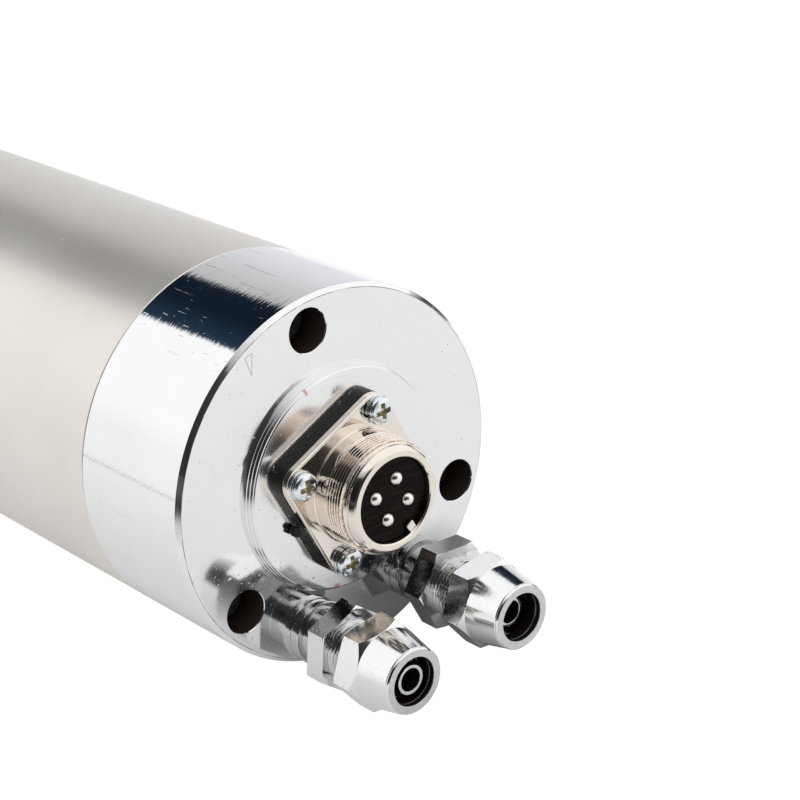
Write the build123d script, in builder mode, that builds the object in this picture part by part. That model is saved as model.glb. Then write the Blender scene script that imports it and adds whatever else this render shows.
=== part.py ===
"""Water-cooled router spindle: an 80 mm motor with an ER20 collet nose and a rear connector.

Millimetres.  The spindle axis is X, the tool end points along -X and the rear face
looks along +X.  The origin is on the axis at the front end of the clamped body.
"""
import os
from math import cos, radians, sin, sqrt, tan

from build123d import *

os.makedirs("parts", exist_ok=True)

# ---- driving dimensions ------------------------------------------------------------
BODY_R = 40.0                  # clamped body, 80 mm diameter
REAR_FACE = 213.0              # polished rear face, measured from the body's front end
CAP_LENGTH = 32.7              # polished rear cap
SLEEVE_WALL = 3.0
CORE_BORE_R = 30.0             # bore of the water jacket core
FIT = 0.05                     # radial running clearance between turned pieces
CHAMFER = 0.9                  # edge of the rear face
SEAM_CHAMFER = 0.2             # broken edges where sleeve, cap and flange meet

PITCH_R = 33.3                 # circle of the cap screws
PORT_R = 33.0                  # circle of the two water ports
FIRST_SCREW_DEG = 103.1
PORT_DEG = {"inlet": -101.5, "outlet": -52.3}
FLANGE_TURN = 30.0             # the square connector flange stands at 30 degrees

BOSS_BASE_R = 24.2
BOSS_TOP_R = 23.2
BOSS_HEIGHT = 2.3
GASKET_THICK = 2.3
FLANGE_THICK = 2.1
FLANGE_SIDE = 29.2
FLANGE_CORNER_R = 4.2
FLANGE_SCREW_R = 15.8          # circle of the four flange screws
BARREL_R = 11.9                # M24 connector thread
BARREL_FRONT = 17.6            # connector mouth above the rear face
MOUTH_R = 8.95
PIN_R = 1.5
PIN_CIRCLE_R = 4.3

HEX_FLATS = 17.0               # spanner size of the water fittings
RING_THICK = 2.4               # sealing ring under each fitting
HEX_START = {"inlet": 7.7, "outlet": 8.3}   # fitting hexagon, above the rear face
HEX_END = 12.6
NUT_START = {"inlet": 16.9, "outlet": 19.2}
NUT_LENGTH = 13.6
NUT_HEX = 5.3
NOSE_R = 6.92
NUT_MOUTH_R = 5.07
BARB_R = 3.15
BARB_BORE_R = 2.45
BARB_END = 29.4
FITTING_THREAD_R = 6.9         # M14 x 1

SHAFT_NOSE = -38.0             # end face of the spindle nose
COLLET_ANGLE = 8.0             # ER collet half angle
COLLET_SEAT_R = 10.2           # seat radius at the nose face
SHANK_R = 3.0                  # tool shank held by the collet
NUT_THREAD_R = 12.3            # M25 nose thread
NUT_R = 17.0
FLANGE_FRONT = -12.0           # front bearing housing, outer face
COVER_FRONT = -17.0

# ---- places worked out from the driving dimensions -----------------------------------
SEAM = REAR_FACE - CAP_LENGTH
SLEEVE_BORE_R = BODY_R - SLEEVE_WALL
CORE_R = SLEEVE_BORE_R - FIT
BOSS_TOP = REAR_FACE + BOSS_HEIGHT
FLANGE_BACK = BOSS_TOP + GASKET_THICK
FLANGE_FACE = FLANGE_BACK + FLANGE_THICK
MOUTH = REAR_FACE + BARREL_FRONT
CORE_FRONT = 6.0               # the core lies between the front housing and the bearing plate
CORE_REAR = 172.0
PLATE_REAR = 176.0
STATOR_FRONT, STATOR_REAR = 46.0, 136.0
STATOR_BORE_R = 20.3
ROTOR_R = 20.0
SEAT_R = 12.5                  # front bearing seat on the shaft
REAR_SEAT_R = 7.5
FRONT_BEARINGS = (-4.0, 8.2)   # front side of each bearing
FRONT_BEARING = dict(bore=12.5, outer=23.5, width=12.0, ball=3.1, balls=9)
REAR_BEARING_AT = 158.0
REAR_BEARING = dict(bore=7.5, outer=17.5, width=11.0, ball=2.9, balls=7)
PRESS_GAP = 0.02               # drawn between pieces that are pressed together
BREAK = 0.4                    # broken edge of screws and nuts
OVERCUT = 1.0                  # how far a cutter runs past the face it opens


# ---- small helpers -----------------------------------------------------------------------
def station(x, y=0.0, z=0.0):
    """Plane across the spindle axis at x, drawn with local X = +Y and local Y = +Z."""
    return Plane(origin=(x, y, z), x_dir=(0, 1, 0), z_dir=(1, 0, 0))


def around(radius, angle):
    """(y, z) of a point on a circle about the spindle axis."""
    return radius * cos(radians(angle)), radius * sin(radians(angle))


def turn(outline, y=0.0, z=0.0, mode=Mode.ADD):
    """Revolve an outline of (x, radius) points about a line along X through (y, z)."""
    with BuildSketch(Plane(origin=(0, y, z), x_dir=(1, 0, 0), z_dir=(0, 0, 1))) as section:
        with BuildLine():
            Polyline(*outline, close=True)
        make_face()
    revolve(section.sketch, axis=Axis((0, y, z), (1, 0, 0)), mode=mode)


def rod(start, end, radius, y=0.0, z=0.0, mode=Mode.ADD):
    """A round bar, or a bore with mode=Mode.SUBTRACT, along X from start to end."""
    with BuildSketch(station(start, y, z)) as section:
        Circle(radius)
    extrude(section.sketch, amount=end - start, mode=mode)


def hexagon(start, end, flats, y=0.0, z=0.0, turned=0.0, mode=Mode.ADD):
    """A hexagonal bar, or socket, along X from start to end."""
    with BuildSketch(station(start, y, z)) as section:
        RegularPolygon(flats / 2, 6, major_radius=False, rotation=turned)
    extrude(section.sketch, amount=end - start, mode=mode)


def rounded_square(start, end, side, corner, turned):
    """A square plate with round corners, across the axis from start to end."""
    with BuildSketch(station(start)) as section:
        RectangleRounded(side, side, corner, rotation=turned)
    extrude(section.sketch, amount=end - start)


def save(piece, name):
    piece.part.label = name
    export_step(piece.part, f"parts/{name}.step")


SCREW_ANGLES = [FIRST_SCREW_DEG - 120.0 * i for i in range(3)]
FLANGE_SCREW_ANGLES = [FLANGE_TURN + 45.0 + 90.0 * i for i in range(4)]
PORTS = {name: around(PORT_R, angle) for name, angle in PORT_DEG.items()}


# ---- body --------------------------------------------------------------------------------------
# The stainless sleeve is the body's clamped cylinder; both ends have broken edges.
with BuildPart() as outer_sleeve:
    edge = SEAM_CHAMFER
    turn([(0, SLEEVE_BORE_R), (0, BODY_R - edge), (edge, BODY_R), (SEAM - edge, BODY_R),
          (SEAM, BODY_R - edge), (SEAM, SLEEVE_BORE_R)])
save(outer_sleeve, "outer_sleeve")

# The core carries the water in rings cut in its outside, joined by slots on alternate sides.
CHANNELS = 10
CHANNEL_WIDTH = 9.0
CHANNEL_DEPTH = 2.2
CHANNEL_FIRST = 20.0
CHANNEL_PITCH = 14.0
CORE_TAP_DEPTH = 8.0
SCREW_R = 2.5
RING_GROOVE = dict(width=2.2, depth=1.4)
RING_GROOVES_AT = (CORE_FRONT + 5.0, CORE_REAR - 12.0)
WATERWAY_R = 1.5


def ring_cut(start, width, depth):
    """A square groove round the outside of the core."""
    turn([(start, CORE_R - depth), (start, CORE_R + OVERCUT), (start + width, CORE_R + OVERCUT),
          (start + width, CORE_R - depth)], mode=Mode.SUBTRACT)


with BuildPart() as jacket_core:
    turn([(CORE_FRONT, CORE_BORE_R), (CORE_FRONT, CORE_R), (CORE_REAR, CORE_R), (CORE_REAR, CORE_BORE_R)])
    for i in range(CHANNELS):
        start = CHANNEL_FIRST + CHANNEL_PITCH * i
        ring_cut(start, CHANNEL_WIDTH, CHANNEL_DEPTH)
        if i < CHANNELS - 1:
            side = 1 if i % 2 else -1
            land = start + (CHANNEL_WIDTH + CHANNEL_PITCH) / 2
            with BuildSketch(Plane.XZ.offset(-side * (CORE_R - CHANNEL_DEPTH))) as slot:
                with Locations((land, 0)):
                    Rectangle(CHANNEL_PITCH - CHANNEL_WIDTH + 2 * OVERCUT, CHANNEL_WIDTH)
            extrude(slot.sketch, amount=-side * (CHANNEL_DEPTH + OVERCUT), mode=Mode.SUBTRACT)
    for start in RING_GROOVES_AT:
        ring_cut(start, RING_GROOVE["width"], RING_GROOVE["depth"])
    for angle in SCREW_ANGLES:
        rod(CORE_REAR - CORE_TAP_DEPTH, CORE_REAR, SCREW_R, *around(PITCH_R, angle), mode=Mode.SUBTRACT)
    for name, channel in (("inlet", 0), ("outlet", CHANNELS - 1)):
        middle = CHANNEL_FIRST + CHANNEL_PITCH * channel + CHANNEL_WIDTH / 2
        rod(middle, CORE_REAR, WATERWAY_R, *PORTS[name], mode=Mode.SUBTRACT)
save(jacket_core, "jacket_core")

# Two sealing rings keep the water between core and sleeve.
SEAL_GAP = 0.03
SEAL_R = (RING_GROOVE["depth"] + FIT) / 2 - SEAL_GAP
with BuildPart() as jacket_seals:
    for start in RING_GROOVES_AT:
        ring_x = start + RING_GROOVE["width"] / 2
        with BuildSketch(Plane.XY) as section:
            with Locations((ring_x, SLEEVE_BORE_R - SEAL_R - SEAL_GAP)):
                Circle(SEAL_R)
        revolve(section.sketch, axis=Axis.X)
save(jacket_seals, "jacket_seals")


# ---- rear cap ----------------------------------------------------------------------------------
CAP_CAVITY_R = 27.5
CAP_WALL = 8.0                 # thickness of the rear wall
CAVITY_CORNER = 3.0
BOSS_GROOVE = dict(start=0.5, lip=0.2, end=1.4, depth=0.3)   # turned round the boss wall
BOSS_EDGE = 0.3
COUNTERBORE_R = 4.6
COUNTERBORE_DEPTH = 12.0
CLEARANCE_R = 2.75
PORT_TAP_R = 4.9
PORT_TAP_DEPTH = 10.0
PORT_DRILL_R = 2.2
CONNECTOR_HOLE_R = 10.6
FLANGE_TAP_R = 1.5
FLANGE_TAP_DEPTH = 6.0
with BuildPart() as rear_cap:
    inner_face = REAR_FACE - CAP_WALL
    groove_from = REAR_FACE + BOSS_GROOVE["start"]
    groove_r = BOSS_BASE_R - BOSS_GROOVE["depth"]
    turn([(PLATE_REAR + FIT, CAP_CAVITY_R), (PLATE_REAR + FIT, CORE_R), (SEAM, CORE_R),
          (SEAM, BODY_R - SEAM_CHAMFER), (SEAM + SEAM_CHAMFER, BODY_R), (REAR_FACE - CHAMFER, BODY_R),
          (REAR_FACE, BODY_R - CHAMFER), (REAR_FACE, BOSS_BASE_R), (groove_from, BOSS_BASE_R),
          (groove_from + BOSS_GROOVE["lip"], groove_r), (REAR_FACE + BOSS_GROOVE["end"], groove_r),
          (BOSS_TOP - BOSS_EDGE, BOSS_TOP_R + BOSS_EDGE), (BOSS_TOP, BOSS_TOP_R),
          (BOSS_TOP, CONNECTOR_HOLE_R), (inner_face, CONNECTOR_HOLE_R),
          (inner_face, CAP_CAVITY_R - CAVITY_CORNER), (inner_face - CAVITY_CORNER, CAP_CAVITY_R)])
    for angle in SCREW_ANGLES:
        place = around(PITCH_R, angle)
        rod(REAR_FACE - COUNTERBORE_DEPTH, REAR_FACE, COUNTERBORE_R, *place, mode=Mode.SUBTRACT)
        rod(PLATE_REAR, REAR_FACE, CLEARANCE_R, *place, mode=Mode.SUBTRACT)
    for place in PORTS.values():
        rod(REAR_FACE - PORT_TAP_DEPTH, REAR_FACE, PORT_TAP_R, *place, mode=Mode.SUBTRACT)
        rod(PLATE_REAR, REAR_FACE, PORT_DRILL_R, *place, mode=Mode.SUBTRACT)
    for angle in FLANGE_SCREW_ANGLES:
        place = around(FLANGE_SCREW_R, angle)
        rod(BOSS_TOP - FLANGE_TAP_DEPTH, BOSS_TOP, FLANGE_TAP_R, *place, mode=Mode.SUBTRACT)
save(rear_cap, "rear_cap")

# Three socket-head screws hold the cap and the bearing plate to the core.
HEAD_R = 4.25
HEAD_HEIGHT = 5.0
SOCKET_FLATS = 4.0
SOCKET_DEPTH = 2.5
with BuildPart() as cap_screws:
    head = REAR_FACE - COUNTERBORE_DEPTH
    top = head + HEAD_HEIGHT
    tip = CORE_REAR - CORE_TAP_DEPTH + 1.0
    for angle in SCREW_ANGLES:
        place = around(PITCH_R, angle)
        turn([(tip, 0), (tip, SCREW_R - FIT), (head, SCREW_R - FIT), (head, HEAD_R),
              (top - BREAK, HEAD_R), (top, HEAD_R - BREAK), (top, 0)], *place)
        hexagon(top - SOCKET_DEPTH, top, SOCKET_FLATS, *place, mode=Mode.SUBTRACT)
save(cap_screws, "cap_screws")


# ---- connector -----------------------------------------------------------------------------
GASKET_HOLE_R = 10.9
FLANGE_HOLE_R = 1.7
with BuildPart() as gasket:
    rounded_square(BOSS_TOP, FLANGE_BACK, FLANGE_SIDE, FLANGE_CORNER_R, FLANGE_TURN)
    rod(BOSS_TOP, FLANGE_BACK, GASKET_HOLE_R, mode=Mode.SUBTRACT)
    for angle in FLANGE_SCREW_ANGLES:
        rod(BOSS_TOP, FLANGE_BACK, FLANGE_HOLE_R, *around(FLANGE_SCREW_R, angle), mode=Mode.SUBTRACT)
save(gasket, "gasket")

# The shell is a square flange with a threaded barrel; a key inside the mouth sets the plug.
SHELL_TAIL = REAR_FACE - 6.0
SHELL_TAIL_R = 10.3
THREAD_ROOT_R = 11.3
THREAD_TO = MOUTH - 2.3
LIP_R = 10.65
LIP_EDGE = 0.2
RELIEF_LENGTH = 0.8            # turned relief between the thread and the lip
RELIEF_SLOPE = 0.1
KEY_DEG = -57.0
KEY_WIDTH = 1.9
KEY_IN = 1.5                   # height of the key inside the mouth
KEY_BACK = 9.0                 # length of the key, behind the mouth
KEY_ROOT = 0.3                 # how far the key reaches into the barrel's wall
KEY_SETBACK = 0.5              # from the mouth to the key's front end
with BuildPart() as connector_shell:
    rounded_square(FLANGE_BACK, FLANGE_FACE, FLANGE_SIDE, FLANGE_CORNER_R, FLANGE_TURN)
    relief_end = THREAD_TO + RELIEF_LENGTH
    turn([(SHELL_TAIL, 0), (SHELL_TAIL, SHELL_TAIL_R), (FLANGE_BACK, SHELL_TAIL_R),
          (FLANGE_BACK, BARREL_R), (THREAD_TO, BARREL_R), (THREAD_TO + RELIEF_SLOPE, THREAD_ROOT_R),
          (relief_end, THREAD_ROOT_R), (relief_end + RELIEF_SLOPE, THREAD_ROOT_R + RELIEF_SLOPE),
          (MOUTH - LIP_EDGE, LIP_R), (MOUTH, LIP_R - LIP_EDGE), (MOUTH, 0)])
    rod(SHELL_TAIL, MOUTH, MOUTH_R, mode=Mode.SUBTRACT)
    with BuildSketch(station(MOUTH - KEY_BACK)) as key:
        with Locations(Location((0, 0, 0), (0, 0, KEY_DEG))):
            with Locations((MOUTH_R - KEY_IN / 2, 0)):
                Rectangle(KEY_IN + 2 * KEY_ROOT, KEY_WIDTH)
    extrude(key.sketch, amount=KEY_BACK - KEY_SETBACK)
    for angle in FLANGE_SCREW_ANGLES:
        rod(FLANGE_BACK, FLANGE_FACE, FLANGE_HOLE_R, *around(FLANGE_SCREW_R, angle), mode=Mode.SUBTRACT)
save(connector_shell, "connector_shell")

INSERT_FACE = MOUTH - 1.5
INSERT_BACK = SHELL_TAIL - 1.0
KEYWAY_GAP = 0.1               # clearance on each side of the key
with BuildPart() as insulator:
    rod(INSERT_BACK, INSERT_FACE, MOUTH_R - FIT)
    with BuildSketch(station(MOUTH - KEY_BACK - 2 * KEYWAY_GAP)) as keyway:
        with Locations(Location((0, 0, 0), (0, 0, KEY_DEG))):
            with Locations((MOUTH_R - KEY_IN / 2, 0)):
                Rectangle(KEY_IN + 4 * KEY_ROOT, KEY_WIDTH + 2 * KEYWAY_GAP)
    extrude(keyway.sketch, amount=KEY_BACK + OVERCUT, mode=Mode.SUBTRACT)
    for angle in FLANGE_SCREW_ANGLES:
        rod(INSERT_BACK, INSERT_FACE, PIN_R + FIT, *around(PIN_CIRCLE_R, angle), mode=Mode.SUBTRACT)
save(insulator, "insulator")

# Four contacts with round tips in front and solder cups behind.
PIN_TIP = MOUTH - 0.3
CUP_BACK = INSERT_BACK - 5.0
CUP_BORE_R = 0.9
CUP_DEPTH = 3.0
with BuildPart() as contact_pins:
    for angle in FLANGE_SCREW_ANGLES:
        y, z = around(PIN_CIRCLE_R, angle)
        with BuildSketch(Plane(origin=(0, y, z), x_dir=(1, 0, 0), z_dir=(0, 0, 1))) as section:
            with BuildLine():
                Polyline((PIN_TIP - PIN_R, PIN_R), (CUP_BACK, PIN_R), (CUP_BACK, CUP_BORE_R),
                         (CUP_BACK + CUP_DEPTH, CUP_BORE_R), (CUP_BACK + CUP_DEPTH, 0), (PIN_TIP, 0))
                CenterArc((PIN_TIP - PIN_R, 0), PIN_R, 0, 90)
            make_face()
        revolve(section.sketch, axis=Axis((0, y, z), (1, 0, 0)))
save(contact_pins, "contact_pins")

# Pan-head screws with a crossed recess; split washers under the heads.
WASHER_THICK = 0.7
WASHER_R = 3.05
PAN_R = 2.9
PAN_HEIGHT = 1.8
PAN_DOME = 0.9
PAN_CROWN_R = PAN_R + 2.2      # radius of the rounded top
CROSS_LENGTH = 3.4
CROSS_WIDTH = 0.9
CROSS_DEPTH = 1.2
with BuildPart() as flange_screws:
    seat = FLANGE_FACE + WASHER_THICK
    top = seat + PAN_HEIGHT
    for angle in FLANGE_SCREW_ANGLES:
        y, z = around(FLANGE_SCREW_R, angle)
        tip = BOSS_TOP - FLANGE_TAP_DEPTH + 2 * BREAK
        with BuildSketch(Plane(origin=(0, y, z), x_dir=(1, 0, 0), z_dir=(0, 0, 1))) as section:
            with BuildLine():
                Polyline((top, 0), (tip, 0), (tip, FLANGE_TAP_R - FIT), (seat, FLANGE_TAP_R - FIT),
                         (seat, PAN_R), (top - PAN_DOME, PAN_R))
                RadiusArc((top - PAN_DOME, PAN_R), (top, 0), PAN_CROWN_R)
            make_face()
        revolve(section.sketch, axis=Axis((0, y, z), (1, 0, 0)))
        with BuildSketch(station(top - CROSS_DEPTH, y, z)) as cross:
            Rectangle(CROSS_LENGTH, CROSS_WIDTH, rotation=angle)
            Rectangle(CROSS_WIDTH, CROSS_LENGTH, rotation=angle)
        extrude(cross.sketch, amount=CROSS_DEPTH + OVERCUT, mode=Mode.SUBTRACT)
save(flange_screws, "flange_screws")

SPLIT_WIDTH = 0.6
SPLIT_TURN = 120.0             # where the washer's gap stands, from the line to the axis
with BuildPart() as lock_washers:
    for angle in FLANGE_SCREW_ANGLES:
        place = around(FLANGE_SCREW_R, angle)
        with BuildSketch(station(FLANGE_FACE, *place)) as washer:
            Circle(WASHER_R)
            Circle(FLANGE_TAP_R + 0.1, mode=Mode.SUBTRACT)
            with Locations(Location((0, 0, 0), (0, 0, angle + SPLIT_TURN))):
                with Locations((WASHER_R / 2 + SPLIT_WIDTH, 0)):
                    Rectangle(WASHER_R, SPLIT_WIDTH, mode=Mode.SUBTRACT)
        extrude(washer.sketch, amount=WASHER_THICK)
save(lock_washers, "lock_washers")


# ---- water fittings ------------------------------------------------------------------------
RING_R = 6.9
NECK_R = 6.0
CROWN = 0.9                    # how far the hexagon's corners are turned down
CROWN_LENGTH = 0.5
STUB_EDGE = 0.55               # broken edge of the port thread
THREAD_END = 22.0              # end of the clamping thread, above the rear face
THREAD_EDGE = 0.6
BARB_FROM = 25.0               # the barb's collar starts here
BARB_STEP = 0.25
NUT_SEAT_DEPTH = 6.2           # threaded part of the nut
NUT_THROAT_DEPTH = 7.6
NUT_LIP_LENGTH = 4.0           # from the nut's mouth to its inner step
NUT_THROAT_R = 5.67
NUT_STEP = 0.2
HEX_TURN = {"inlet": 27.0, "outlet": 0.5}
NUT_TURN = {"inlet": 13.0, "outlet": 13.0}
HEX_CORNER_R = HEX_FLATS / sqrt(3)


def crowned_hexagon(start, end, place, turned, crown_start, crown_end):
    """A spanner hexagon whose corners are turned down at one or both ends."""
    y, z = place
    hexagon(start, end, HEX_FLATS, y, z, turned=turned)
    outline = [(start, 0), (start, HEX_CORNER_R - (CROWN if crown_start else 0)),
               (start + CROWN_LENGTH, HEX_CORNER_R), (end - CROWN_LENGTH, HEX_CORNER_R),
               (end, HEX_CORNER_R - (CROWN if crown_end else 0)), (end, 0)]
    turn(outline, y, z, mode=Mode.INTERSECT)


RING_BORE_R = PORT_TAP_R + 2 * FIT
RING_EDGE = 0.3
ring_top = REAR_FACE + RING_THICK
with BuildPart() as sealing_rings:
    for place in PORTS.values():
        turn([(REAR_FACE, RING_BORE_R), (REAR_FACE, RING_R), (ring_top - RING_EDGE, RING_R),
              (ring_top, RING_R - RING_EDGE), (ring_top, RING_BORE_R)], *place)
save(sealing_rings, "sealing_rings")

NUT_SEAT_R = FITTING_THREAD_R + 2 * FIT
NUT_FRONT_EDGE = 0.25
stub_start = REAR_FACE - PORT_TAP_DEPTH + STUB_EDGE
stub_r = PORT_TAP_R - FIT
hex_front = REAR_FACE + HEX_END
thread_end = REAR_FACE + THREAD_END
barb_from = REAR_FACE + BARB_FROM
barb_end = REAR_FACE + BARB_END
for name, place in PORTS.items():
    with BuildPart() as fitting_body:
        hex_back = REAR_FACE + HEX_START[name]
        crowned_hexagon(hex_back, hex_front, place, HEX_TURN[name], False, True)
        turn([(stub_start, 0), (stub_start, stub_r - STUB_EDGE), (stub_start + STUB_EDGE, stub_r),
              (ring_top, stub_r), (ring_top, NECK_R), (hex_back, NECK_R), (hex_back, 0)], *place)
        turn([(hex_front, 0), (hex_front, FITTING_THREAD_R), (thread_end - THREAD_EDGE, FITTING_THREAD_R),
              (thread_end, FITTING_THREAD_R - THREAD_EDGE), (thread_end, BARB_R - BARB_STEP),
              (barb_from, BARB_R - BARB_STEP), (barb_from + BARB_STEP, BARB_R), (barb_end, BARB_R),
              (barb_end, 0)], *place)
        rod(REAR_FACE - PORT_TAP_DEPTH, barb_end, BARB_BORE_R, *place, mode=Mode.SUBTRACT)
    save(fitting_body, f"{name}_body")

    # The clamping nut: a hexagon that runs out into a long tapered nose.
    with BuildPart() as fitting_nut:
        back = REAR_FACE + NUT_START[name]
        front = back + NUT_LENGTH
        shoulder = back + NUT_HEX
        crowned_hexagon(back, shoulder, place, NUT_TURN[name], True, True)
        step = front - NUT_LIP_LENGTH
        turn([(shoulder, 0), (shoulder, HEX_FLATS / 2 - NUT_STEP), (front - NUT_FRONT_EDGE, NOSE_R),
              (front, NOSE_R - NUT_FRONT_EDGE), (front, 0)], *place)
        turn([(back, 0), (back, NUT_SEAT_R), (back + NUT_SEAT_DEPTH, NUT_SEAT_R),
              (back + NUT_THROAT_DEPTH, NUT_THROAT_R), (step, NUT_MOUTH_R + NUT_STEP),
              (step + NUT_STEP, NUT_MOUTH_R), (front, NUT_MOUTH_R), (front, 0)],
             *place, mode=Mode.SUBTRACT)
    save(fitting_nut, f"{name}_nut")


# ---- motor --------------------------------------------------------------------------------------
SLOTS = 18
SLOT_WIDTH = 3.4
SLOT_INNER_R = 21.6
SLOT_OUTER_R = 26.2
SLOT_MOUTH = (4.0, 1.0)        # opening of each slot towards the rotor
SLOT_LINER = 0.2               # between the copper and the slot's walls
END_TURN = 12.0                # how far the winding heads stand out of the stack
HEAD_BULGE = 2.0
with BuildPart() as stator_core:
    with BuildSketch(station(STATOR_FRONT)) as lamination:
        Circle(CORE_BORE_R - FIT)
        Circle(STATOR_BORE_R, mode=Mode.SUBTRACT)
        with PolarLocations((SLOT_INNER_R + SLOT_OUTER_R) / 2, SLOTS):
            Rectangle(SLOT_OUTER_R - SLOT_INNER_R, SLOT_WIDTH, mode=Mode.SUBTRACT)
        with PolarLocations(SLOT_INNER_R, SLOTS):
            Rectangle(*SLOT_MOUTH, mode=Mode.SUBTRACT)
    extrude(lamination.sketch, amount=STATOR_REAR - STATOR_FRONT)
save(stator_core, "stator_core")

with BuildPart() as stator_windings:
    inner_r, outer_r = SLOT_INNER_R, SLOT_OUTER_R + HEAD_BULGE
    for start, sign in ((STATOR_FRONT, -1), (STATOR_REAR, 1)):
        near, bulge, far = (start + sign * reach for reach in (SLOT_LINER, HEAD_BULGE, END_TURN))
        turn([(near, inner_r + HEAD_BULGE / 2), (bulge, inner_r), (far - sign * HEAD_BULGE, inner_r),
              (far, inner_r + HEAD_BULGE), (far, outer_r - HEAD_BULGE), (far - sign * HEAD_BULGE, outer_r),
              (bulge, outer_r), (near, outer_r - HEAD_BULGE)])
    with BuildSketch(station(STATOR_FRONT - 2.5 * SLOT_LINER)) as bars:
        with PolarLocations((SLOT_INNER_R + SLOT_OUTER_R) / 2, SLOTS):
            Rectangle(SLOT_OUTER_R - SLOT_INNER_R - 3 * SLOT_LINER, SLOT_WIDTH - 2 * SLOT_LINER)
    extrude(bars.sketch, amount=STATOR_REAR - STATOR_FRONT + 5 * SLOT_LINER)
save(stator_windings, "stator_windings")

ROTOR_SEAT_R = 12.0
RING_LENGTH = 5.0              # end rings of the rotor cage
RING_WALL = 7.0
with BuildPart() as rotor_core:
    turn([(STATOR_FRONT, ROTOR_SEAT_R + FIT), (STATOR_FRONT, ROTOR_R), (STATOR_REAR, ROTOR_R),
          (STATOR_REAR, ROTOR_SEAT_R + FIT)])
save(rotor_core, "rotor_core")

with BuildPart() as rotor_rings:
    for start in (STATOR_FRONT - RING_LENGTH, STATOR_REAR):
        end = start + RING_LENGTH
        turn([(start, ROTOR_R - RING_WALL), (start, ROTOR_R - 1.0), (end, ROTOR_R - 1.0),
              (end, ROTOR_R - RING_WALL)])
save(rotor_rings, "rotor_rings")


# ---- bearings ------------------------------------------------------------------------------------
BALL_GAP = 0.06                # between a ball and its track
SHOULDER = 0.45                # height of the race shoulders, as a share of the ball's radius


def race_shoulders(bearing):
    """Pitch radius of the balls and the shoulder radii of the two races."""
    pitch = (bearing["bore"] + bearing["outer"]) / 2
    return pitch, pitch - bearing["ball"] * SHOULDER, pitch + bearing["ball"] * SHOULDER


def inner_race(start, bearing):
    pitch, shoulder, _ = race_shoulders(bearing)
    width = bearing["width"]
    bore = bearing["bore"] + PRESS_GAP
    turn([(start, bore), (start, shoulder), (start + width, shoulder), (start + width, bore)])
    groove(start + width / 2, pitch, bearing["ball"] + BALL_GAP)


def outer_race(start, bearing):
    pitch, _, shoulder = race_shoulders(bearing)
    width = bearing["width"]
    outside = bearing["outer"] - PRESS_GAP
    turn([(start, shoulder), (start, outside), (start + width, outside), (start + width, shoulder)])
    groove(start + width / 2, pitch, bearing["ball"] + BALL_GAP)


def groove(middle, pitch, radius):
    """The round track that the balls run in."""
    with BuildSketch(Plane.XY) as section:
        with Locations((middle, pitch)):
            Circle(radius)
    revolve(section.sketch, axis=Axis.X, mode=Mode.SUBTRACT)


def ball_set(start, bearing):
    pitch, _, _ = race_shoulders(bearing)
    for i in range(bearing["balls"]):
        y, z = around(pitch, 360.0 / bearing["balls"] * i)
        with Locations((start + bearing["width"] / 2, y, z)):
            Sphere(bearing["ball"])


with BuildPart() as front_inner_races:
    for start in FRONT_BEARINGS:
        inner_race(start, FRONT_BEARING)
save(front_inner_races, "front_inner_races")

with BuildPart() as front_outer_races:
    for start in FRONT_BEARINGS:
        outer_race(start, FRONT_BEARING)
save(front_outer_races, "front_outer_races")

with BuildPart() as front_balls:
    for start in FRONT_BEARINGS:
        ball_set(start, FRONT_BEARING)
save(front_balls, "front_balls")

with BuildPart() as rear_inner_race:
    inner_race(REAR_BEARING_AT, REAR_BEARING)
save(rear_inner_race, "rear_inner_race")

with BuildPart() as rear_outer_race:
    outer_race(REAR_BEARING_AT, REAR_BEARING)
save(rear_outer_race, "rear_outer_race")

with BuildPart() as rear_balls:
    ball_set(REAR_BEARING_AT, REAR_BEARING)
save(rear_balls, "rear_balls")

# The rear bearing plate closes the core; windows let the leads through.
PLATE_HUB_R = CORE_BORE_R - FIT
WINDOW_R = 3.0
WINDOW_CIRCLE_R = 23.0
PLATE_BORE_R = 13.0
SPRING_SPACE = 1.6
spring_end = REAR_BEARING_AT + REAR_BEARING["width"] + SPRING_SPACE
rear_seat = REAR_BEARING["outer"] + PRESS_GAP / 2
with BuildPart() as bearing_plate:
    turn([(REAR_BEARING_AT, rear_seat), (REAR_BEARING_AT, PLATE_HUB_R), (CORE_REAR, PLATE_HUB_R),
          (CORE_REAR, CORE_R), (PLATE_REAR, CORE_R), (PLATE_REAR, PLATE_BORE_R),
          (spring_end, PLATE_BORE_R), (spring_end, rear_seat)])
    for angle in SCREW_ANGLES:
        rod(CORE_REAR, PLATE_REAR, CLEARANCE_R, *around(PITCH_R, angle), mode=Mode.SUBTRACT)
    for place in PORTS.values():
        rod(CORE_REAR, PLATE_REAR, WATERWAY_R, *place, mode=Mode.SUBTRACT)
    for angle in FLANGE_SCREW_ANGLES:
        rod(REAR_BEARING_AT, PLATE_REAR, WINDOW_R, *around(WINDOW_CIRCLE_R, angle), mode=Mode.SUBTRACT)
save(bearing_plate, "bearing_plate")

# A wave spring presses the rear bearing forward.
SPRING_GAP = 0.3
SPRING_INNER_R, SPRING_OUTER_R = 14.0, 17.2
with BuildPart() as preload_spring:
    start = REAR_BEARING_AT + REAR_BEARING["width"] + SPRING_GAP
    end = spring_end - SPRING_GAP
    turn([(start, SPRING_INNER_R), (start, SPRING_OUTER_R), (end, SPRING_OUTER_R), (end, SPRING_INNER_R)])
save(preload_spring, "preload_spring")

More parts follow.
